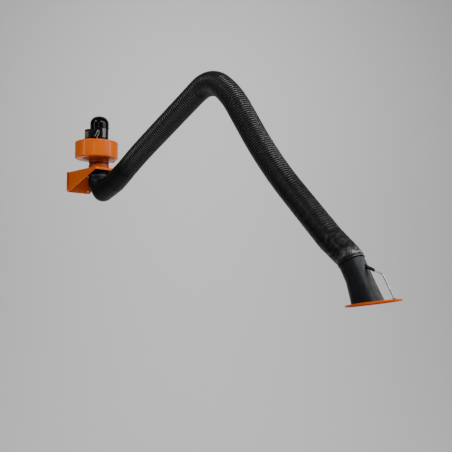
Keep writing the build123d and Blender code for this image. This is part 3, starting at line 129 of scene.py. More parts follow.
def make_camera():
    data = bpy.data.cameras.new("camera")
    data.sensor_width = SENSOR_WIDTH
    data.sensor_fit = "HORIZONTAL"
    data.lens = FOCAL_PIXELS * SENSOR_WIDTH / PICTURE_WIDTH
    data.clip_start, data.clip_end = 0.1, 200.0
    camera = bpy.data.objects.new("camera", data)
    bpy.context.scene.collection.objects.link(camera)
    camera.location = CAMERA_PLACE
    level = math.cos(CAMERA_PITCH)
    forward = Vector((math.sin(CAMERA_YAW) * level, math.cos(CAMERA_YAW) * level,
                      math.sin(CAMERA_PITCH)))
    camera.rotation_euler = forward.to_track_quat("-Z", "Y").to_euler()
    bpy.context.scene.camera = camera


make_camera()


# The hose's middle line, with the same stretches as the part's source. Each one is given as
# (straight length, radius of an arc, degrees that it turns down), and is a straight or an arc.
# Rises and falls are degrees off level.
ROOT_OUT, ROOT_UP, ROOT_RISE = 375.0, -59.0, 29.5
LOWER_RISE, ELBOW_FALL, UPPER_FALL, TAIL_FALL = 26.4, 37.0, 55.0, 45.8
BEND_STRAIGHT = 23.0     # the last of the long straight, which the elbow's piece covers
HOSE_ROUTE = [
    (162.0, 0.0, 0.0),                          # out of the boot
    (0.0, 3000.0, ROOT_RISE - LOWER_RISE),      # easing onto the lower arm's slope
    (680.0 + BEND_STRAIGHT, 0.0, 0.0),          # the long straight
    (0.0, 221.5, LOWER_RISE + ELBOW_FALL),      # the tight bend over the elbow
    (0.0, 793.0, UPPER_FALL - ELBOW_FALL),      # the wide bend after it
    (230.0, 0.0, 0.0),                          # down the upper arm
    (0.0, 3445.0, TAIL_FALL - UPPER_FALL),      # the sag
    (430.0, 0.0, 0.0),                          # the tail, up to the soft end
]


def stretch_length(stretch):
    straight, radius, turn = stretch
    return straight + radius * math.radians(abs(turn))


def route_end(count):
    return sum(stretch_length(stretch) for stretch in HOSE_ROUTE[:count])


def hose_place(distance):
    """(out, up, rise) on the hose's middle line."""
    out, up, rise = ROOT_OUT, ROOT_UP, ROOT_RISE
    for index, stretch in enumerate(HOSE_ROUTE):
        straight, radius, turn = stretch
        length = stretch_length(stretch)
        last = index == len(HOSE_ROUTE) - 1
        reach = distance if last else min(distance, length)
        if radius and reach > 0:
            sign = 1 if turn > 0 else -1
            first = math.radians(rise)
            rise -= turn * reach / length
            then = math.radians(rise)
            out += (math.sin(first) - math.sin(then)) * radius * sign
            up += (math.cos(then) - math.cos(first)) * radius * sign
        elif not radius:
            out += math.cos(math.radians(rise)) * reach
            up += math.sin(math.radians(rise)) * reach
        distance -= reach
        if distance <= 0:
            break
    return out, up, rise


BEND_START = route_end(3)
ELBOW_START, ELBOW_END = BEND_START - BEND_STRAIGHT, route_end(5)
SAG_START, SAG_END = route_end(6), route_end(7)
HOSE_END = route_end(8)


# Mesh helpers.

def new_object(name, mesh):
    piece = bpy.data.objects.new(name, mesh)
    bpy.context.scene.collection.objects.link(piece)
    return piece


def mesh_from_rings(name, rings, crest=None):
    """A skin through rings of points. crest gives one number per point for its material."""
    count = len(rings[0])
    points = [p for ring in rings for p in ring]
    faces = []
    for low in range(len(rings) - 1):
        for k in range(count):
            a, b = low * count + k, low * count + (k + 1) % count
            faces.append((a, b, b + count, a + count))
    mesh = bpy.data.meshes.new(name)
    mesh.from_pydata([tuple(p) for p in points], [], faces)
    if crest is not None:
        layer = mesh.attributes.new("crest", "FLOAT", "POINT")
        layer.data.foreach_set("value", np.array(crest, np.float32).ravel())
    mesh.validate()
    mesh.update()
    for polygon in mesh.polygons:
        polygon.use_smooth = True
    return mesh


def tidy(mesh, distance=1e-6):
    """Merges points that coincide and turns the faces outwards."""
    work = bmesh.new()
    work.from_mesh(mesh)
    bmesh.ops.remove_doubles(work, verts=work.verts, dist=distance)
    bmesh.ops.dissolve_degenerate(work, edges=work.edges, dist=distance)
    bmesh.ops.recalc_face_normals(work, faces=work.faces)
    work.to_mesh(mesh)
    work.free()
    mesh.update()


def round_angles(count):
    return [FULL_TURN * k / count for k in range(count)]


def tucked_in(rings, crest, first, last):
    """Adds a ring inside each end, so that no open edge shows."""
    plain = [0.0] * len(first)
    return [first, *rings, last], [plain, *crest, plain]


def finish_piece(piece, body, material, replaced=()):
    """Gives a piece its looks, and its body when one is given."""
    piece.data.materials.clear()
    piece.data.materials.append(material)
    if body:
        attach(piece, body)
    if replaced:
        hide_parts(*replaced)


# Materials.

def shader(name):
    material = bpy.data.materials.new(name)
    material.use_nodes = True
    nodes = material.node_tree.nodes
    return material, nodes, material.node_tree.links, nodes["Principled BSDF"]


def position(nodes):
    """Object coordinates: metres in the part's own frame, so that scales are real."""
    return nodes.new("ShaderNodeTexCoord").outputs["Object"]


def grain(nodes, links, vector, scale, detail=3.0, roughness=0.6, distortion=0.0):
    texture = nodes.new("ShaderNodeTexNoise")
    texture.inputs["Scale"].default_value = scale
    texture.inputs["Detail"].default_value = detail
    texture.inputs["Roughness"].default_value = roughness
    texture.inputs["Distortion"].default_value = distortion
    links.new(vector, texture.inputs["Vector"])
    return texture.outputs["Fac"]


def ramp(nodes, links, value, stops):
    """A value run through stops of (place, colour or grey)."""
    node = nodes.new("ShaderNodeValToRGB")
    elements = node.color_ramp.elements
    while len(elements) < len(stops):
        elements.new(0.5)
    for element, (place, colour) in zip(elements, stops):
        element.position = place
        if isinstance(colour, (int, float)):
            colour = (colour, colour, colour)
        element.color = (*colour, 1.0)
    links.new(value, node.inputs["Fac"])
    return node.outputs["Color"]


def blended(nodes, links, share, first, second):
    """Two colours mixed by a share; each may be a value or another node's output."""
    node = nodes.new("ShaderNodeMix")
    node.data_type = "RGBA"
    node.blend_type = "MIX"
    for socket, value in (("Factor", share), ("A", first), ("B", second)):
        target = [s for s in node.inputs if s.name == socket
                  and s.type == ("VALUE" if socket == "Factor" else "RGBA")][0]
        if isinstance(value, bpy.types.NodeSocket):
            links.new(value, target)
        elif socket == "Factor":
            target.default_value = value
        else:
            target.default_value = (*value, 1.0)
    return [s for s in node.outputs if s.type == "RGBA"][0]


def bump(nodes, links, bsdf, heights):
    """Stacks bump heights given as (value, strength, distance in metres)."""
    normal = None
    for value, strength, distance in heights:
        node = nodes.new("ShaderNodeBump")
        node.inputs["Strength"].default_value = strength
        node.inputs["Distance"].default_value = distance
        links.new(value, node.inputs["Height"])
        if normal is not None:
            links.new(normal, node.inputs["Normal"])
        normal = node.outputs["Normal"]
    links.new(normal, bsdf.inputs["Normal"])


def painted(name, colour, roughness, peel=0.15, coat=0.3, dark=0.8, light=1.12,
            specular=0.3):
    """Powder coat or paint: orange peel, faint cloudiness and dust in the roughness."""
    material, nodes, links, bsdf = shader(name)
    vector = position(nodes)
    cloud = grain(nodes, links, vector, 6.0, 4.0)
    shade = ramp(nodes, links, cloud, [(0.3, tuple(c * dark for c in colour)),
                                       (0.7, tuple(min(1, c * light) for c in colour))])
    links.new(shade, bsdf.inputs["Base Color"])
    dust = grain(nodes, links, vector, 40.0, 6.0)
    spread = ramp(nodes, links, dust, [(0.35, roughness * 0.8), (0.7, min(1, roughness * 1.35))])
    links.new(spread, bsdf.inputs["Roughness"])
    orange_peel = grain(nodes, links, vector, 420.0, 2.0)
    bump(nodes, links, bsdf, [(orange_peel, peel, 0.0004)])
    bsdf.inputs["Specular IOR Level"].default_value = specular
    bsdf.inputs["Coat Weight"].default_value = coat
    bsdf.inputs["Coat Roughness"].default_value = 0.12
    return material


def metal(name, colour, roughness):
    """Bare or plated metal with fine drawn lines."""
    material, nodes, links, bsdf = shader(name)
    vector = position(nodes)
    lines = grain(nodes, links, vector, 90.0, 5.0)
    cloud = grain(nodes, links, vector, 9.0, 4.0)
    shade = ramp(nodes, links, cloud, [(0.3, tuple(c * 0.75 for c in colour)), (0.7, colour)])
    links.new(shade, bsdf.inputs["Base Color"])
    spread = ramp(nodes, links, lines, [(0.3, roughness * 0.75), (0.75, roughness * 1.5)])
    links.new(spread, bsdf.inputs["Roughness"])
    bump(nodes, links, bsdf, [(lines, 0.15, 0.0003)])
    bsdf.inputs["Metallic"].default_value = 1.0
    return material


def plastic(name, colour, roughness, grain_size=600.0, depth=0.1, specular=0.5):
    """Moulded plastic or rubber with a fine grain and slight cloudiness."""
    material, nodes, links, bsdf = shader(name)
    vector = position(nodes)
    cloud = grain(nodes, links, vector, 14.0, 4.0)
    shade = ramp(nodes, links, cloud, [(0.3, tuple(c * 0.7 for c in colour)),
                                       (0.7, tuple(min(1, c * 1.3) for c in colour))])
    links.new(shade, bsdf.inputs["Base Color"])
    spread = ramp(nodes, links, cloud, [(0.3, roughness * 0.85), (0.7, roughness * 1.2)])
    links.new(spread, bsdf.inputs["Roughness"])
    fine = grain(nodes, links, vector, grain_size, 3.0)
    bump(nodes, links, bsdf, [(fine, depth, 0.0003)])
    bsdf.inputs["Specular IOR Level"].default_value = specular
    return material


def hose_cloth(name):
    """Coated black cloth over a wire: weave, glossier crests and dull valleys. The crest mark also
    lightens the colour, as rubbed wear and painted sheen, and at its top as painted highlight in
    the wire's grey.
    """
    material, nodes, links, bsdf = shader(name)
    vector = position(nodes)
    attribute = nodes.new("ShaderNodeAttribute")
    attribute.attribute_name = "crest"
    crest = attribute.outputs["Fac"]
    sheen_mottle = grain(nodes, links, vector, 55.0, 5.0)
    cloud = grain(nodes, links, vector, 11.0, 4.0)
    base = ramp(nodes, links, cloud, [(0.3, (0.0016, 0.0017, 0.0020)),
                                      (0.7, (0.0034, 0.0036, 0.0044))])
    # Lighter where the crest mark is high: rubbed wear and painted sheen.
    rubbed_and_sheen = ramp(nodes, links, sheen_mottle, [(0.35, (0.012, 0.0126, 0.0141)),
                                       (0.75, (0.048, 0.048, 0.050))])
    base_with_sheen = blended(nodes, links, crest, base, rubbed_and_sheen)
    # Painted highlight: the highest marks turn to the wire's light grey.
    painted_highlight_share = ramp(nodes, links, crest, [(0.62, 0.0), (0.95, 1.0)])
    links.new(blended(nodes, links, painted_highlight_share, base_with_sheen, (0.19, 0.19, 0.185)),
              bsdf.inputs["Base Color"])
    dull = ramp(nodes, links, cloud, [(0.3, 0.40), (0.7, 0.58)])
    links.new(blended(nodes, links, crest, dull, (0.20, 0.20, 0.20)),
              bsdf.inputs["Roughness"])
    links.new(ramp(nodes, links, crest, [(0.0, 0.09), (0.17, 0.20), (0.65, 0.75)]),
              bsdf.inputs["Specular IOR Level"])
    weave = nodes.new("ShaderNodeTexVoronoi")
    weave.inputs["Scale"].default_value = 700.0
    links.new(vector, weave.inputs["Vector"])
    creases = grain(nodes, links, vector, 85.0, 5.0, distortion=0.9)
    crumple = grain(nodes, links, vector, 26.0, 3.0, distortion=0.5)
    bump(nodes, links, bsdf, [(weave.outputs["Distance"], 0.15, 0.0005),
                              (creases, 0.5, 0.0022), (crumple, 0.35, 0.004)])
    return material


MATERIALS = {
    "orange_paint": painted("orange_paint", (0.74, 0.128, 0.003), 0.22, peel=0.03, coat=0.05,
                            dark=0.92, light=1.05, specular=0.20),
    # Painted shade: a darker, redder copy of the orange paint for the neck's collars, which lie in
    # shade under the drum.
    "painted_shade_orange": painted("painted_shade_orange", (0.40, 0.050, 0.003), 0.30, peel=0.03, coat=0.05,
                           dark=0.8, light=1.1, specular=0.20),
    "orange_plastic": painted("orange_ring", (0.78, 0.112, 0.005), 0.30, peel=0.05, coat=0.06,
                              dark=0.92, light=1.05, specular=0.2),
    "black_paint": painted("black_paint", (0.003, 0.003, 0.0035), 0.24, peel=0.1, coat=0.06,
                           dark=0.7, light=1.4, specular=0.14),
    "black_plastic": plastic("black_plastic", (0.002, 0.002, 0.0024), 0.14, depth=0.02,
                             specular=0.16),
    "bearing_plastic": plastic("bearing_plastic", (0.55, 0.55, 0.52), 0.5),
    "plate_white": plastic("plate_white", (0.62, 0.62, 0.58), 0.45, depth=0.05),
    "lead_cover": plastic("lead_cover", (0.30, 0.32, 0.31), 0.35),
    "bright_steel": metal("bright_steel", (0.56, 0.56, 0.57), 0.26),
    "dull_steel": metal("dull_steel", (0.06, 0.06, 0.062), 0.42),
    "hood_black": painted("hood_black", (0.0030, 0.0034, 0.0055), 0.46, peel=0.08, coat=0.0,
                          dark=0.7, light=1.4, specular=0.26),
    "inner_black": painted("inner_black", (0.002, 0.002, 0.0022), 0.6, peel=0.1, coat=0.0,
                           specular=0.10),
    # Painted shade: a dark red for the neck's sleeve, which lies in shade under the drum.
    "painted_shade_red": plastic("painted_shade_red", (0.16, 0.014, 0.003), 0.5, 300.0, 0.1, 0.2),
    "box_label": plastic("box_label", (0.15, 0.145, 0.055), 0.6, depth=0.05, specular=0.2),
    "silver_plate": metal("silver_plate", (0.11, 0.115, 0.12), 0.40),
    "wheel_aluminium": metal("wheel_aluminium", (0.60, 0.61, 0.62), 0.34),
    "arm_steel": painted("arm_steel", (0.006, 0.006, 0.0065), 0.5, coat=0.0, specular=0.15),
    "boot_rubber": plastic("boot_rubber", (0.0028, 0.0028, 0.0030), 0.42, 900.0, 0.12, 0.17),
    "hose_fabric": hose_cloth("hose_fabric"),
}


# Hose pieces. Depths and heights are in millimetres, and noise scales are per metre.
TAIL_RADIUS = 82.6                           # after the sag, a little under the part's own
LOWER_DEPTH, UPPER_DEPTH = 4.4, 3.4          # of the valleys between the ribs
LOWER_PITCH, UPPER_PITCH = 17.6, 18.1
LOWER_SHARPNESS, UPPER_SHARPNESS = 2.8, 2.2
LOWER_WIRE, UPPER_WIRE = 0.22, 0.17          # the wire's bare width, as a share of the pitch
RINGS_PER_RIB = 12
HOSE_POINTS = 88
RISE_START, RISE_LENGTH = -25.0, 230.0       # where the ribs come up out of the boot
FIRST_STRENGTH, LAST_STRENGTH = 0.08, 0.36   # of the ribs, beside a full 1
FADE_SHARE, TAPER_SHARE = 0.45, 0.72         # of the sag, where ribs fade and the hose is thin
FADE_PAST = 40.0                             # how far past the sag the ribs go on fading
PLAIN_START = 1500.0                         # where cloth without ribs gets a painted mottled sheen
HOSE_GAP = 0.2                               # between the hose's pieces
BOOT_LAP = 25.0                              # how far the hose reaches into the boot
TUCK = 3.6                                   # how much thinner it is in there
END_TURN_IN = 8.0

# Where the hose bunches up on the inside of its tight bend.
BUNCH_MIDDLE, BUNCH_REACH, BUNCH_HEIGHT = BEND_START + 110.0, 190.0, 13.0

# Painted highlight: the lower arm's ribs are marked lighter on the side that faces the room.
HIGHLIGHT_ANGLE, HIGHLIGHT_WIDTH = math.radians(221.0), math.radians(17.0)


def hose_radius(distance):
    """The radius on the ribs' crests, in millimetres."""
    if distance <= ELBOW_END:
        share = limited((distance - ELBOW_START) / (ELBOW_END - ELBOW_START))
        return between(LOWER_RADIUS, UPPER_RADIUS, share)
    taper_end = between(SAG_START, SAG_END, TAPER_SHARE)
    return between(UPPER_RADIUS, TAIL_RADIUS, limited((distance - ELBOW_END)
                                                      / (taper_end - ELBOW_END)))


def rib_phase(distance):
    """How many ribs lie before a place."""
    if distance < ELBOW_END:
        return distance / LOWER_PITCH
    return ELBOW_END / LOWER_PITCH + (distance - ELBOW_END) / UPPER_PITCH


def rib_strength(distance):
    """Ribs rise out of the boot, and fade into plain cloth on the upper arm's lower half."""
    fade_start = between(SAG_START, SAG_END, FADE_SHARE)
    if distance <= fade_start:
        risen = levelled(limited((distance - RISE_START) / RISE_LENGTH))
        return between(FIRST_STRENGTH, 1.0, risen)
    share = (distance - fade_start) / (SAG_END + FADE_PAST - fade_start)
    return max(LAST_STRENGTH, between(1.0, LAST_STRENGTH, share))


def hose_ring(distance, tuck):
    """One ring of the hose's skin, and a mark at each of its points: the wire on the crests,
    painted sheen on plain cloth and painted highlight on the lower arm's near side.
    """
    out, up, rise = hose_place(distance)
    bend = math.radians(rise - hose_place(distance + 1.0)[2])
    centre, normal = at(out, up), over(rise)
    strength, radius = rib_strength(distance), hose_radius(distance)
    past = limited((distance - BEND_START) / (ELBOW_END - BEND_START))
    rib_depth = between(LOWER_DEPTH, UPPER_DEPTH, past) * strength
    sharpness = between(LOWER_SHARPNESS, UPPER_SHARPNESS, past)
    wire_width = between(LOWER_WIRE, UPPER_WIRE, past)
    bunched = max(0.0, 1 - abs(distance - BUNCH_MIDDLE) / BUNCH_REACH)
    ring, marks = [], []
    for angle in round_angles(HOSE_POINTS):
        spoke = X_AXIS * math.cos(angle) + normal * math.sin(angle)
        rim = centre + spoke * radius * MM
        wander = 0.10 * noise.noise(rim * 7.0) + (1 - strength) * 0.55 * noise.noise(rim * 19.0)
        turn = (rib_phase(distance) - angle / FULL_TURN + wander) % 1.0
        valley = 1.0 - abs(2 * turn - 1.0) ** sharpness
        squeeze = -math.sin(angle) * bend * radius
        deepened = 1.0 + 2.2 * max(0.0, squeeze) - 0.5 * max(0.0, -squeeze)
        soft = noise.noise(rim * 9.0) * 0.9 + noise.noise(rim * 31.0) * 0.5
        fold = noise.noise(Vector((angle * 1.6, distance * 0.021, 3.1)))
        sag = (1.0 - strength) * (1.6 * fold + 0.8 * soft)
        size = radius - rib_depth * deepened * valley + soft * 0.35 * strength + sag * 0.8
        size = min(size, radius + 0.4) - tuck
        size += BUNCH_HEIGHT * levelled(bunched) * max(0.0, -math.sin(angle)) ** 2
        ring.append(centre + spoke * size * MM)
        wire = math.exp(-(min(turn, 1 - turn) / wire_width) ** 2)
        # Painted sheen: plain cloth past PLAIN_START gets a mottled mark that makes it lighter and
        # glossier.
        sheen_mottle = 0.12 + 0.26 * noise.noise(rim * 45.0)
        plain = (1 - strength) * max(0.04, sheen_mottle) if distance > PLAIN_START else 0.0
        # Painted highlight along the lower arm's side that faces the room; it lifts the mark into
        # the wire's grey.
        highlit = math.exp(-((angle - HIGHLIGHT_ANGLE) / HIGHLIGHT_WIDTH) ** 2) * (1.0 - past)
        marks.append(max(wire * strength * (0.65 + 0.35 * highlit), plain))
    return ring, marks


def hose_end_ring(distance, radius):
    """A narrower ring at a place of the hose, for its turned-in edge."""
    out, up, rise = hose_place(distance)
    return [at(out, up) + (X_AXIS * math.cos(angle) + over(rise) * math.sin(angle)) * radius * MM
            for angle in round_angles(HOSE_POINTS)]


def hose_piece(name, first, last, tuck_length=0.0):
    """Ribbed hose between two places of its route, as one spiral of wire under cloth."""
    count = max(2, round((last - first) / (LOWER_PITCH / RINGS_PER_RIB)))
    rings, crest = [], []
    for index in range(count + 1):
        distance = between(first, last, index / count)
        inside = distance - first < tuck_length
        tuck = TUCK * (1 - (distance - first) / tuck_length) if inside else 0.0
        ring, marks = hose_ring(distance, tuck)
        rings.append(ring)
        crest.append(marks)
    inner = hose_radius(first) - END_TURN_IN
    rings, crest = tucked_in(rings, crest, hose_end_ring(first, inner), hose_end_ring(last, inner))
    piece = new_object(name, mesh_from_rings(name, rings, crest))
    tidy(piece.data)
    return piece


CLOTH = MATERIALS["hose_fabric"]
BLEND_INSET = 20.0

lower_hose = hose_piece("lower_hose_cloth", -BOOT_LAP, ELBOW_START - HOSE_GAP, BOOT_LAP)
finish_piece(lower_hose, "lower_arm", CLOTH, ["lower_hose"])

elbow_hose = hose_piece("elbow_hose_cloth", ELBOW_START - HOSE_GAP, ELBOW_END + HOSE_GAP)
finish_piece(elbow_hose, None, CLOTH, ["elbow_hose"])
at(*hose_place(ELBOW_START + BLEND_INSET)[:2])
at(*hose_place(ELBOW_END - BLEND_INSET)[:2])
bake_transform(elbow_hose)

upper_hose = hose_piece("upper_hose_cloth", ELBOW_END + HOSE_GAP, HOSE_END - 0.3)
finish_piece(upper_hose, "upper_arm", CLOTH, ["upper_hose"])


# The smooth boot over the shoulder.

def straight_ring(corner, unit, length, rise, reach, radius, turn_in, turn_out, count):
    """A ring on a straight run, cut short by the mitres of the corners at its ends."""
    ring = []
    for angle in round_angles(count):
        side, lift = math.cos(angle) * radius, math.sin(angle) * radius
        low = lift * math.tan(turn_in / 2)
        high = length - lift * math.tan(turn_out / 2)
        place = min(max(reach, low), high) if low < high else (low + high) / 2
        base = Vector(corner) + unit * place
        ring.append(at(base.x, base.y, side) + over(rise) * lift * MM)
    return ring


def corner_ring(corner, tilt, middle, turn, radius, count):
    """A ring of the fan round a corner; its inner half lies on the mitre, as one fold."""
    ring = []
    for angle in round_angles(count):
        side, lift = math.cos(angle) * radius, math.sin(angle) * radius
        if lift * turn > 0:
            shift = over(middle) * lift / math.cos(turn / 2)
        else:
            shift = over(tilt) * lift
        ring.append(at(corner[0], corner[1], side) + shift * MM)
    return ring


def boot_rings(corners, radius_of, count=96, step=7.0, fan=9):
    """Rings along straight runs, turned about each corner; the inner side meets in a fold."""
    runs = [Vector((b[0] - a[0], b[1] - a[1])) for a, b in zip(corners, corners[1:])]
    rises = [math.degrees(math.atan2(run.y, run.x)) for run in runs]
    turns = [0.0, *(math.radians(b - a) for a, b in zip(rises, rises[1:])), 0.0]
    total = sum(run.length for run in runs)
    rings, done = [], 0.0
    for index, run in enumerate(runs):
        last = index + 1 == len(runs)
        stops = max(2, round(run.length / step))
        for stop in range(1 if index else 0, stops + 1 if last else stops):
            reach = run.length * stop / stops
            rings.append(straight_ring(corners[index], run.normalized(), run.length, rises[index],
                                       reach, radius_of((done + reach) / total), turns[index],
                                       turns[index + 1], count))
        done += run.length
        if last:
            break
        rise, after = rises[index], rises[index + 1]
        for share in range(fan + 1):
            rings.append(corner_ring(corners[index + 1], between(rise, after, share / fan),
                                     (rise + after) / 2, turns[index + 1],
                                     radius_of(done / total), count))
    return rings


def soften(mesh, rounds):
    """Rounds off a mesh and leaves its open edges where they are."""
    work = bmesh.new()
    work.from_mesh(mesh)
    points = [v for v in work.verts if not v.is_boundary]
    for _ in range(rounds):
        bmesh.ops.smooth_vert(work, verts=points, factor=0.5, use_axis_x=True,
                              use_axis_y=True, use_axis_z=True)
    work.to_mesh(mesh)
    work.free()
    mesh.update()


def displaced(mesh, shift):
    """Moves each point along its normal by shift(place), in metres."""
    moves = [(v.index, v.normal * shift(v.co)) for v in mesh.vertices]
    for index, move in moves:
        mesh.vertices[index].co += move
    mesh.update()


def make_boot():
    corners = [(0.0, -BOOT_TOP_DROP), (-3.0, -118.0), (66.0, -193.0), (235.0, -136.0),
               (383.0, -55.0)]
    end_taper, taper_share = 3.6, 0.72

    def radius_of(share):
        thinning = max(0.0, (share - taper_share) / (1 - taper_share))
        return BOOT_RADIUS - end_taper * thinning ** 1.5

    def turned_in(ring, centre, scale, ahead=0.0):
        return [centre + (p - centre) * scale + along(ROOT_RISE) * ahead * MM for p in ring]

    rings = boot_rings(corners, radius_of)
    top, end = at(*corners[0]), at(*corners[-1])
    first, last = rings[0], rings[-1]
    rings = [turned_in(first, top, 0.955), *rings, turned_in(last, end, 0.992, 1.2),
             turned_in(last, end, 0.960, 1.6)]
    mesh = mesh_from_rings("shoulder_boot_sleeve", rings)
    tidy(mesh, 1e-5)
    soften(mesh, 7)
    displaced(mesh, lambda place: (noise.noise(place * 14.0) * 0.0011
                                   + noise.noise(place * 38.0) * 0.0004))
    return new_object("shoulder_boot_sleeve", mesh)


boot = make_boot()
finish_piece(boot, None, MATERIALS["boot_rubber"], ["shoulder_boot"])
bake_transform(boot)


# The hose's soft end over the wrist, and the cuff that is gathered onto the hood's neck.

def neck_place(drop):
    """(out, up) on the hood's own axis, so far below the wrist, before the hood hangs over."""
    angle = math.radians(HOOD_FALL)
    return WRIST_OUT + math.cos(angle) * drop, WRIST_UP - math.sin(angle) * drop


ROLL_PIN = at(*neck_place(ROLL_PIN_DROP))
HUNG = (Matrix.Translation(ROLL_PIN)
        @ Matrix.Rotation(math.radians(HOOD_ROLL), 4, along(90 - HOOD_FALL))
        @ Matrix.Translation(-ROLL_PIN))

# How much of the soft end's turn is done, by the share of its way to the neck.
WRIST_TURN_SHARES = [(0.0, 0.0), (0.33, -0.25), (0.64, -0.30), (0.87, 0.25), (1.0, 1.0)]
SOFT_END_RADIUS, CUFF_RADIUS = 81.9, 78.2
NECK_UNIT = 100.0            # the cuff's millimetres on the neck for each 1 past the end
CUFF_START = -NECK_RISE - 0.1
PINCH_DROP, PINCH_WIDTH, PINCH_DEPTH = 18.0, 5.0, 2.4
PLEATS = 36
GATHER_SHARE, HANG_SHARE, HEM_WIDTH_SHARE, LEAD_IN_SHARE = 0.55, 0.62, 0.13, 0.04


def eased(stops, share):
    """A smooth curve through stops of (share, value)."""
    last = len(stops) - 1
    spot = max(i for i in range(last) if share >= stops[i][0] or i == 0)
    before, after = stops[max(spot - 1, 0)], stops[min(spot + 2, last)]
    (x0, y0), (x1, y1) = stops[spot], stops[spot + 1]
    t = limited((share - x0) / (x1 - x0))
    m0 = (y1 - before[1]) / (x1 - before[0]) if spot else (y1 - y0) / (x1 - x0)
    m1 = (after[1] - y0) / (after[0] - x0) if spot + 2 <= last else (y1 - y0) / (x1 - x0)
    h = x1 - x0
    return ((2 * t**3 - 3 * t**2 + 1) * y0 + (t**3 - 2 * t**2 + t) * h * m0
            + (-2 * t**3 + 3 * t**2) * y1 + (t**3 - t**2) * h * m1)


def wrist_place(share):
    """(out, up, rise) on the soft end's middle line; past 1 it lies on the hood's neck."""
    if share > 1.0:
        return *neck_place(CUFF_START + (share - 1.0) * NECK_UNIT), -HOOD_FALL
    start_out, start_up, start_rise = hose_place(HOSE_END - 0.5)
    neck_out, neck_up = neck_place(CUFF_START)
    rise = start_rise + (-HOOD_FALL - start_rise) * eased(WRIST_TURN_SHARES, share)
    return between(start_out, neck_out, share), between(start_up, neck_up, share), rise


def wrist_ring(share, points):
    """One ring of the soft end: pleats where it is gathered, folds and creases elsewhere."""
    out, up, rise = wrist_place(share)
    radius = between(SOFT_END_RADIUS, CUFF_RADIUS, min(share, 1.0))
    gather = max(0.0, (share - GATHER_SHARE) / (1 - GATHER_SHARE)) ** 1.6
    on_neck = (share - 1.0) * NECK_UNIT
    pinch = math.exp(-((on_neck - PINCH_DROP) / PINCH_WIDTH) ** 2) if on_neck > 0 else 0.0
    lead_in = 1.2 * max(0.0, 1 - share / LEAD_IN_SHARE)
    hang = levelled(limited((share - HANG_SHARE) / (1 - HANG_SHARE)))
    ring = []
    for angle in round_angles(points):
        cos, sin = math.cos(angle), math.sin(angle)
        here = Vector((cos * 2.2, sin * 2.2, share * 1.5))
        zigzag = 2.8 * math.sin(share * 70.0) + 2.0 * noise.noise(here)
        pleat = math.sin(angle * PLEATS + zigzag) * (0.7 + 0.6 * noise.noise(here * 1.7))
        fold = noise.noise(Vector((angle * 1.1, share * 3.4 + sin * 0.5, 8.0)))
        crease = noise.noise(Vector((cos * 4.5, sin * 4.5, share * 11.0)))
        size = radius + 2.1 * gather ** 2 * pleat + 1.3 * (1 - 0.5 * gather) * fold
        size = min(size + 1.1 * crease - PINCH_DEPTH * pinch, radius + 2.2) - lead_in
        point = at(out, up) + (X_AXIS * cos + over(rise) * sin) * size * MM
        ring.append(point.lerp(HUNG @ point, hang))
    return ring


def wrist_piece(name, first, last, count, points=128):
    """Skin of the soft end between two shares of its way."""
    rings, crest = [], []
    for index in range(count + 1):
        share = between(first, last, index / count)
        ring = wrist_ring(share, points)
        rings.append(ring)
        # Painted sheen: mottled marks make the cloth lighter and glossier, with a painted
        # highlight along the hem at the cuff.
        hem = math.exp(-((share - 1.0) / HEM_WIDTH_SHARE) ** 2)
        crest.append([max(0.03, 0.12 + 0.22 * noise.noise(p * 45.0) + 0.45 * hem) for p in ring])
    ends = []
    for ring in (rings[0], rings[-1]):
        centre = sum(ring, Vector()) / points
        ends.append([centre + (p - centre) * 0.95 for p in ring])
    rings, crest = tucked_in(rings, crest, *ends)
    piece = new_object(name, mesh_from_rings(name, rings, crest))
    tidy(piece.data)
    return piece


wrist_sleeve = wrist_piece("wrist_sleeve_cloth", 0.0, 0.74, 125)
finish_piece(wrist_sleeve, None, CLOTH, ["wrist_hose"])
at(*hose_place(HOSE_END)[:2])
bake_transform(wrist_sleeve)

cuff = wrist_piece("hood_cuff_cloth", 0.72, 1.27, 150)
finish_piece(cuff, None, CLOTH)
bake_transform(cuff)


# Clamp bands and the hood.

BAND_OUTLINE = [(-0.5, 0.0), (-0.5, 1.0), (-0.42, 1.5), (-0.30, 1.2), (0.30, 1.2),
                (0.42, 1.5), (0.5, 1.0), (0.5, 0.0)]     # shares of the width, and heights
BAND_POINTS = 160


def band_axes(axis):
    """The band's own axis and two directions square to it."""
    axis = axis.normalized()
    reference = X_AXIS if abs(axis.x) < 0.5 else Z_AXIS
    side = (reference - axis * reference.dot(axis)).normalized()
    return axis, side, axis.cross(side).normalized()


def band_screw(work, base, width):
    """The worm drive's housing, hexagon head and screw, round a matrix on the band."""
    box = bmesh.ops.create_cube(work, size=1.0, matrix=base @ Matrix.Diagonal(
        (0.017, 0.0075, width * 1.15 * MM, 1)))
    edges = list(dict.fromkeys(e for v in box["verts"] for e in v.link_edges))
    bmesh.ops.bevel(work, geom=edges, offset=0.0015, segments=3, affect="EDGES", profile=0.6)
    turned = base @ Matrix.Rotation(math.pi / 2, 4, "Y")
    bmesh.ops.create_cone(work, cap_ends=True, segments=6, radius1=0.0042, radius2=0.0042,
                          depth=0.030, matrix=turned @ Matrix.Translation((0, 0, 0.001)))
    bmesh.ops.create_cone(work, cap_ends=True, segments=24, radius1=0.0030, radius2=0.0030,
                          depth=0.034, matrix=turned)


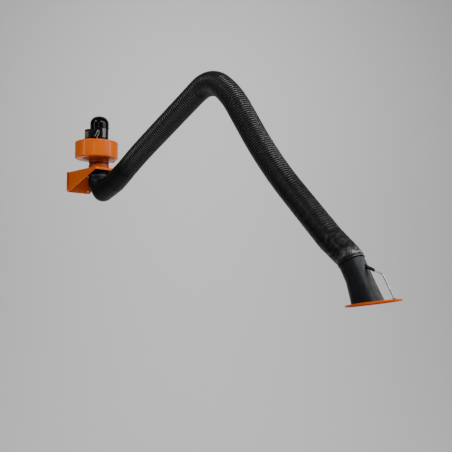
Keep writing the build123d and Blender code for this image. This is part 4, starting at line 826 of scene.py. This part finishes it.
def clamp_band(name, centre, axis, radius, screw_angle, width, body, replaced, matrix=None):
    """A worm-drive band with rolled edges, a housing and a screw."""
    axis, side, lift = band_axes(axis)
    work = bmesh.new()
    loops = []
    for angle in round_angles(BAND_POINTS):
        spoke = side * math.cos(angle) + lift * math.sin(angle)
        loops.append([work.verts.new(centre + axis * (share * width * MM)
                                     + spoke * (radius + rise) * MM)
                      for share, rise in BAND_OUTLINE])
    for here, there in zip(loops, loops[1:] + loops[:1]):
        for j in range(len(BAND_OUTLINE)):
            after = (j + 1) % len(BAND_OUTLINE)
            work.faces.new((here[j], there[j], there[after], here[after]))
    spot = math.radians(screw_angle)
    outward = side * math.cos(spot) + lift * math.sin(spot)
    around = axis.cross(outward).normalized()
    turn = Matrix((around, outward, axis)).transposed().to_4x4()
    band_screw(work, Matrix.Translation(centre + outward * (radius + 4.6) * MM) @ turn, width)
    mesh = bpy.data.meshes.new(name)
    bmesh.ops.recalc_face_normals(work, faces=work.faces)
    if matrix is not None:
        bmesh.ops.transform(work, matrix=matrix, verts=work.verts)
    work.to_mesh(mesh)
    work.free()
    finish_piece(new_object(name, mesh), body, MATERIALS["dull_steel"], replaced)


MOUTH = at(MOUTH_OUT, MOUTH_UP)
MOUTH_ACROSS = along(MOUTH_TILT)
MOUTH_DOWN = along(MOUTH_TILT - 90)
WAIST_SWELL = 4.5            # how far the hood's flare bends in from straight


def hood_ring(share, inset, points=128):
    """A ring of the hood. Share 0 is the neck, 1 the waist and 2 the mouth."""
    neck, waist = at(*neck_place(-NECK_RISE)), at(*neck_place(NECK_LENGTH - NECK_RISE))
    above = along(90 - HOOD_FALL)
    rest = share - 1.0
    ring = []
    for turn in round_angles(points):
        flat, sin = X_AXIS * math.cos(turn), math.sin(turn)
        first = (neck + (waist - neck) * min(share, 1.0)
                 + (flat + above * sin) * (NECK_RADIUS - inset) * MM)
        if rest <= 0:
            ring.append(first)
            continue
        last = MOUTH + (flat * (MOUTH_HALF_WIDTH - inset)
                        + MOUTH_ACROSS * sin * (MOUTH_HALF_DEPTH - inset)) * MM
        straight = first.lerp(last, rest)
        ease = WAIST_SWELL * rest * (1 - rest) * (0.4 + 0.6 * max(0.0, sin))
        centre = waist.lerp(MOUTH, rest)
        ring.append(straight - (straight - centre).normalized() * ease * MM)
    return ring


def make_hood():
    """The moulded hood: a neck and a flare, with an inner wall and a rim at the mouth."""
    neck_stops = [index / 16 for index in range(17)]
    flare_stops = [1 + index / 30 for index in range(1, 31)]
    outer = [hood_ring(share, 0.0) for share in neck_stops + flare_stops]
    inner = [hood_ring(share, HOOD_WALL) for share in neck_stops + flare_stops]
    rim = [p - MOUTH_DOWN * 0.4 * MM for p in outer[-1]]
    rings = [*outer[:-1], rim, outer[-1], *reversed(inner), outer[0]]
    mesh = mesh_from_rings("hood_shell_moulding", rings)
    tidy(mesh)
    mesh.transform(HUNG)
    piece = new_object("hood_shell_moulding", mesh)
    finish_piece(piece, "hood", MATERIALS["hood_black"], ["hood_shell"])


make_hood()


# Small parts: beads, screws and rivets.

def frame_on(place, direction):
    """A matrix whose Z points along a direction."""
    return Matrix.Translation(place) @ direction.to_track_quat("Z", "Y").to_matrix().to_4x4()


def outwards(turn):
    """The level direction at so many degrees from +X."""
    angle = math.radians(turn)
    return Vector((math.cos(angle), math.sin(angle), 0))


def lathe(work, matrix, profile, count=24):
    """A turned shape from (radius, height) points, in millimetres."""
    loops = []
    for radius, height in profile:
        if radius < 1e-6:
            loops.append([work.verts.new(matrix @ Vector((0, 0, height * MM)))])
            continue
        loops.append([work.verts.new(matrix @ Vector((
            radius * math.cos(angle) * MM, radius * math.sin(angle) * MM, height * MM)))
            for angle in round_angles(count)])
    for low, high in zip(loops, loops[1:]):
        for k in range(count):
            after = (k + 1) % count
            if len(low) == 1:
                work.faces.new((low[0], high[after], high[k]))
            elif len(high) == 1:
                work.faces.new((low[k], low[after], high[0]))
            else:
                work.faces.new((low[k], low[after], high[after], high[k]))


def hex_head(work, matrix, radius, height):
    """A hexagon head on its washer."""
    lathe(work, matrix, [(0, 0), (radius * 1.45, 0), (radius * 1.45, 0.9), (0, 0.9)])
    lathe(work, matrix @ Matrix.Translation((0, 0, 0.0008)),
          [(0, 0), (radius, 0), (radius, height * 0.85), (radius * 0.86, height), (0, height)], 6)


def socket_head(work, matrix, radius, height):
    lathe(work, matrix, [(0, 0), (radius, 0), (radius, height * 0.8), (radius * 0.85, height),
                         (radius * 0.5, height), (radius * 0.5, height * 0.4),
                         (0, height * 0.4)], 24)


def rivet(work, matrix, radius):
    lathe(work, matrix, [(radius, 0), (radius * 0.9, radius * 0.3), (radius * 0.5, radius * 0.5),
                         (0, radius * 0.55)], 16)


def tube_along(work, path, radius, count=12, closed=False):
    """A round bead along a path of points; radius() takes the share of the way."""
    loops = []
    total = len(path)
    side = None
    for index, spot in enumerate(path):
        before = path[index - 1] if index or closed else spot
        after = path[(index + 1) % total] if index + 1 < total or closed else spot
        run = (after - before).normalized()
        if side is None:
            side = run.orthogonal().normalized()
        else:
            side = (side - run * side.dot(run)).normalized()
        lift = run.cross(side)
        size = radius(index / total)
        loops.append([work.verts.new(spot + (side * math.cos(angle) + lift * math.sin(angle))
                                     * size * MM) for angle in round_angles(count)])
    pairs = list(zip(loops, loops[1:]))
    if closed:
        pairs.append((loops[-1], loops[0]))
    for low, high in pairs:
        for k in range(count):
            after = (k + 1) % count
            work.faces.new((low[k], low[after], high[after], high[k]))
    if not closed:
        work.faces.new(list(reversed(loops[0])))
        work.faces.new(loops[-1])


def ring_bead(work, centre, ring_radius, radius, count=160):
    """A round bead that lies level."""
    side = Z_AXIS.orthogonal().normalized()
    lift = Z_AXIS.cross(side)
    path = [centre + (side * math.cos(angle) + lift * math.sin(angle)) * ring_radius * MM
            for angle in round_angles(count)]
    tube_along(work, path, lambda share: radius, closed=True)


def part(name, build, body, material, matrix=None):
    """Makes one small piece from a function that fills a bmesh."""
    work = bmesh.new()
    build(work)
    bmesh.ops.recalc_face_normals(work, faces=work.faces)
    if matrix is not None:
        bmesh.ops.transform(work, matrix=matrix, verts=work.verts)
    mesh = bpy.data.meshes.new(name)
    work.to_mesh(mesh)
    work.free()
    for polygon in mesh.polygons:
        polygon.use_smooth = True
    mesh.set_sharp_from_angle(angle=math.radians(35))
    finish_piece(new_object(name, mesh), body, material)


clamp_band("hood_clamp", at(*neck_place(9.7)), along(-HOOD_FALL), radius=77.8,
           screw_angle=330, width=9.0, body="hood", replaced=["hood_band"], matrix=HUNG)
clamp_band("boot_clamp", at(0, -60.3), -Z_AXIS, radius=84.8, screw_angle=190, width=12.0,
           body="swivel", replaced=["boot_band"])


def weld_line(work, start, end, radius):
    """A wavy bead in an inner corner."""
    steps = max(8, round((end - start).length / 0.004))
    side = (end - start).orthogonal().normalized()
    spots = [start.lerp(end, index / steps) for index in range(steps + 1)]
    path = [spot + side * noise.noise(spot * 160.0) * 0.0006 for spot in spots]
    tube_along(work, path, lambda share: radius * (0.9 + 0.14 * math.sin(share * steps * 2.1)))


# The bracket's welds: places in the part's frame, in millimetres.
INNER_SIDE, OUTER_SIDE = 95.0, 100.6         # of the gussets, from the middle
WALL_FACE, PLATE_FACE, LIP_LEVEL = -7.0, 79.0, 76.0
WELD_FOOT = -78.0


def bracket_welds(work):
    def bead(start, end, radius=2.6):
        weld_line(work, Vector(start) * MM, Vector(end) * MM, radius)

    for turn in (1, -1):
        inner, outside = turn * INNER_SIDE, turn * OUTER_SIDE
        bead((inner, -12.0, PLATE_FACE), (inner, -408.0, PLATE_FACE))
        bead((inner, WALL_FACE, LIP_LEVEL), (inner, WALL_FACE, WELD_FOOT))
        bead((outside, WALL_FACE, -WELD_FOOT), (outside, WALL_FACE, WELD_FOOT), 2.4)
    bead((-92.0, WALL_FACE, PLATE_FACE), (92.0, WALL_FACE, PLATE_FACE))
    ring_bead(work, at(0, 0.4), COLLAR_RADIUS + 0.9, 2.0)


part("bracket_weld_beads", bracket_welds, "bracket_and_fan",
     MATERIALS["orange_paint"])


def drum_seams(work):
    lid_joint = at(-SCROLL_SHIFT, 207.2, -SCROLL_SHIFT)
    ring_bead(work, lid_joint, DRUM_RADIUS - 0.4, 1.3, 240)
    ring_bead(work, at(0, 53.2), COLLAR_RADIUS, 1.6)


part("drum_seam_beads", drum_seams, "bracket_and_fan", MATERIALS["orange_paint"])


def collar_screws(work):
    for up in (16.0, 62.0):
        for turn in (35, 125, 215, 305):
            place = at(0, up) + outwards(turn) * (COLLAR_RADIUS - 0.1) * MM
            hex_head(work, frame_on(place, outwards(turn)), 4.0, 3.2)


def cowl_screws(work):
    for turn in (45, 135, 225, 315):
        place = at(0, 338.0) + outwards(turn) * (COWL_RADIUS - 0.2) * MM
        socket_head(work, frame_on(place, outwards(turn)), 3.4, 2.4)


def lid_screws(work):
    for out in (23.0, -23.0):
        for up in (243.0, 309.0):
            socket_head(work, frame_on(at(out, up, -122.9), -X_AXIS), 3.0, 2.0)


def plate_rivets(work):
    for turn in (-100.0, -78.0):
        for up in (258.0, 326.0):
            rivet(work, frame_on(at(0, up) + outwards(turn) * 74.8 * MM, outwards(turn)), 1.8)


def ring_rivets(work):
    for turn in range(0, 360, 60):
        angle = math.radians(turn + 20)
        spot = MOUTH + (X_AXIS * math.cos(angle) * (MOUTH_HALF_WIDTH + 3.0)
                        + MOUTH_ACROSS * math.sin(angle) * (MOUTH_HALF_DEPTH + 3.0)) * MM
        rivet(work, frame_on(spot - MOUTH_DOWN * 0.1 * MM, -MOUTH_DOWN), 2.6)


for name, build, finish in (("collar_screws", collar_screws, "bright_steel"),
                            ("cowl_screws", cowl_screws, "dull_steel"),
                            ("box_lid_screws", lid_screws, "dull_steel"),
                            ("plate_rivets", plate_rivets, "bright_steel")):
    part(name, build, "bracket_and_fan", MATERIALS[finish])
part("ring_rivets", ring_rivets, "hood", MATERIALS["orange_plastic"],
     HUNG)


# Floor, light and finishing.

# Metres. The floor lies below the hood of the fully lowered arm, which hangs to -3.01.
FLOOR_LEVEL, FLOOR_REACH, FLOOR_BEHIND = -3.15, 11.0, -14.0
SWEEP_RADIUS, SWEEP_STEPS, BACKDROP_TOP, STAGE_HALF_WIDTH = 5.0, 32, 16.0, 24.0
STAGE_START = Vector((-3.46, -5.74, 0))      # below the camera
AHEAD = Vector((math.sin(CAMERA_YAW), math.cos(CAMERA_YAW), 0))
ASIDE = Vector((math.cos(CAMERA_YAW), -math.sin(CAMERA_YAW), 0))


def make_backdrop():
    """A pale floor that curves up into a backdrop, square to the camera's view."""
    profile = [(FLOOR_BEHIND, FLOOR_LEVEL), (FLOOR_REACH, FLOOR_LEVEL)]
    for step in range(1, SWEEP_STEPS + 1):
        turn = math.pi / 2 * step / SWEEP_STEPS
        profile.append((FLOOR_REACH + SWEEP_RADIUS * math.sin(turn),
                        FLOOR_LEVEL + SWEEP_RADIUS * (1 - math.cos(turn))))
    profile.append((FLOOR_REACH + SWEEP_RADIUS, BACKDROP_TOP))
    points = [STAGE_START + AHEAD * reach + ASIDE * side + Z_AXIS * height
              for reach, height in profile for side in (-STAGE_HALF_WIDTH, STAGE_HALF_WIDTH)]
    faces = [(base, base + 1, base + 3, base + 2) for base in range(0, len(points) - 2, 2)]
    mesh = bpy.data.meshes.new("backdrop")
    mesh.from_pydata(points, [], faces)
    mesh.update()
    for polygon in mesh.polygons:
        polygon.use_smooth = True
    backdrop = new_object("backdrop", mesh)
    material, _, _, bsdf = shader("backdrop")
    bsdf.inputs["Base Color"].default_value = (0.80, 0.80, 0.79, 1)
    bsdf.inputs["Roughness"].default_value = 0.9
    bsdf.inputs["Specular IOR Level"].default_value = 0.1
    mesh.materials.append(material)


def make_world():
    world = bpy.data.worlds.new("studio")
    bpy.context.scene.world = world
    world.use_nodes = True
    back = world.node_tree.nodes["Background"]
    back.inputs["Color"].default_value = (0.86, 0.88, 0.92, 1)
    back.inputs["Strength"].default_value = 0.10


def area_light(name, place, target, size, power, colour=(1, 1, 1)):
    data = bpy.data.lights.new(name, "AREA")
    data.shape = "RECTANGLE"
    data.size, data.size_y = size
    data.energy = power
    data.color = colour
    light = bpy.data.objects.new(name, data)
    bpy.context.scene.collection.objects.link(light)
    light.location = place
    light.rotation_euler = (Vector(target) - Vector(place)).to_track_quat("-Z", "Y").to_euler()


def strip_light(name, angle, distance, height, size, power):
    """An upright strip, placed by its angle from the camera's own side of the fan."""
    turn = math.radians(angle)
    towards = ASIDE * math.sin(turn) - AHEAD * math.cos(turn)
    place = Vector((0, -SWIVEL_REACH * MM, height)) + towards * distance
    area_light(name, place, (0, -0.9, 0.1), size, power)


make_backdrop()
make_world()
area_light("key", (-0.8, -5.9, 3.5), (0, -1.4, 0.1), (1.1, 0.9), 240)
area_light("right", (2.0, -5.4, 2.4), (0, -2.2, -0.2), (2.2, 1.6), 125, (0.90, 0.94, 1.0))
area_light("left", (-4.6, -0.9, 3.4), (0, -0.6, 0.1), (1.4, 1.2), 92)
strip_light("strip_left", -59.0, 4.2, 0.95, (0.05, 1.6), 18)
strip_light("strip_front", -3.0, 6.2, 1.25, (0.04, 1.4), 8)
strip_light("strip_right", 84.0, 4.46, 0.7, (0.12, 2.0), 30)
area_light("backdrop_wash", (1.5, 1.0, 4.5), (7.0, 6.0, 0.5), (4.0, 1.5), 420)


# The nodes whose looks differ from the rest of their slot. The neck's collars and sleeve get
# darker colours as painted shade under the drum.
OWN_MATERIALS = {"terminal_label": "box_label", "rating_plate": "silver_plate",
                 "neck_sleeve": "painted_shade_red", "inlet_collar": "painted_shade_orange",
                 "base_collar": "painted_shade_orange"}
OWN_MATERIALS.update(dict.fromkeys(
    ("turn_ring", "swivel_spigot", "swivel_yoke", "terminal_box", "tilt_pin", "roll_pin",
     "wrist_fork", "wrist_block"), "inner_black"))


def dress_nodes():
    """Gives every CAD node that stays in view the material of its slot, or its own."""
    slots = {row["node"]: row["material_slot"] for row in frame["record"]["subparts"]}
    for name, node in frame["nodes"].items():
        node.data.materials.clear()
        node.data.materials.append(MATERIALS[OWN_MATERIALS.get(name, slots[name])])


dress_nodes()
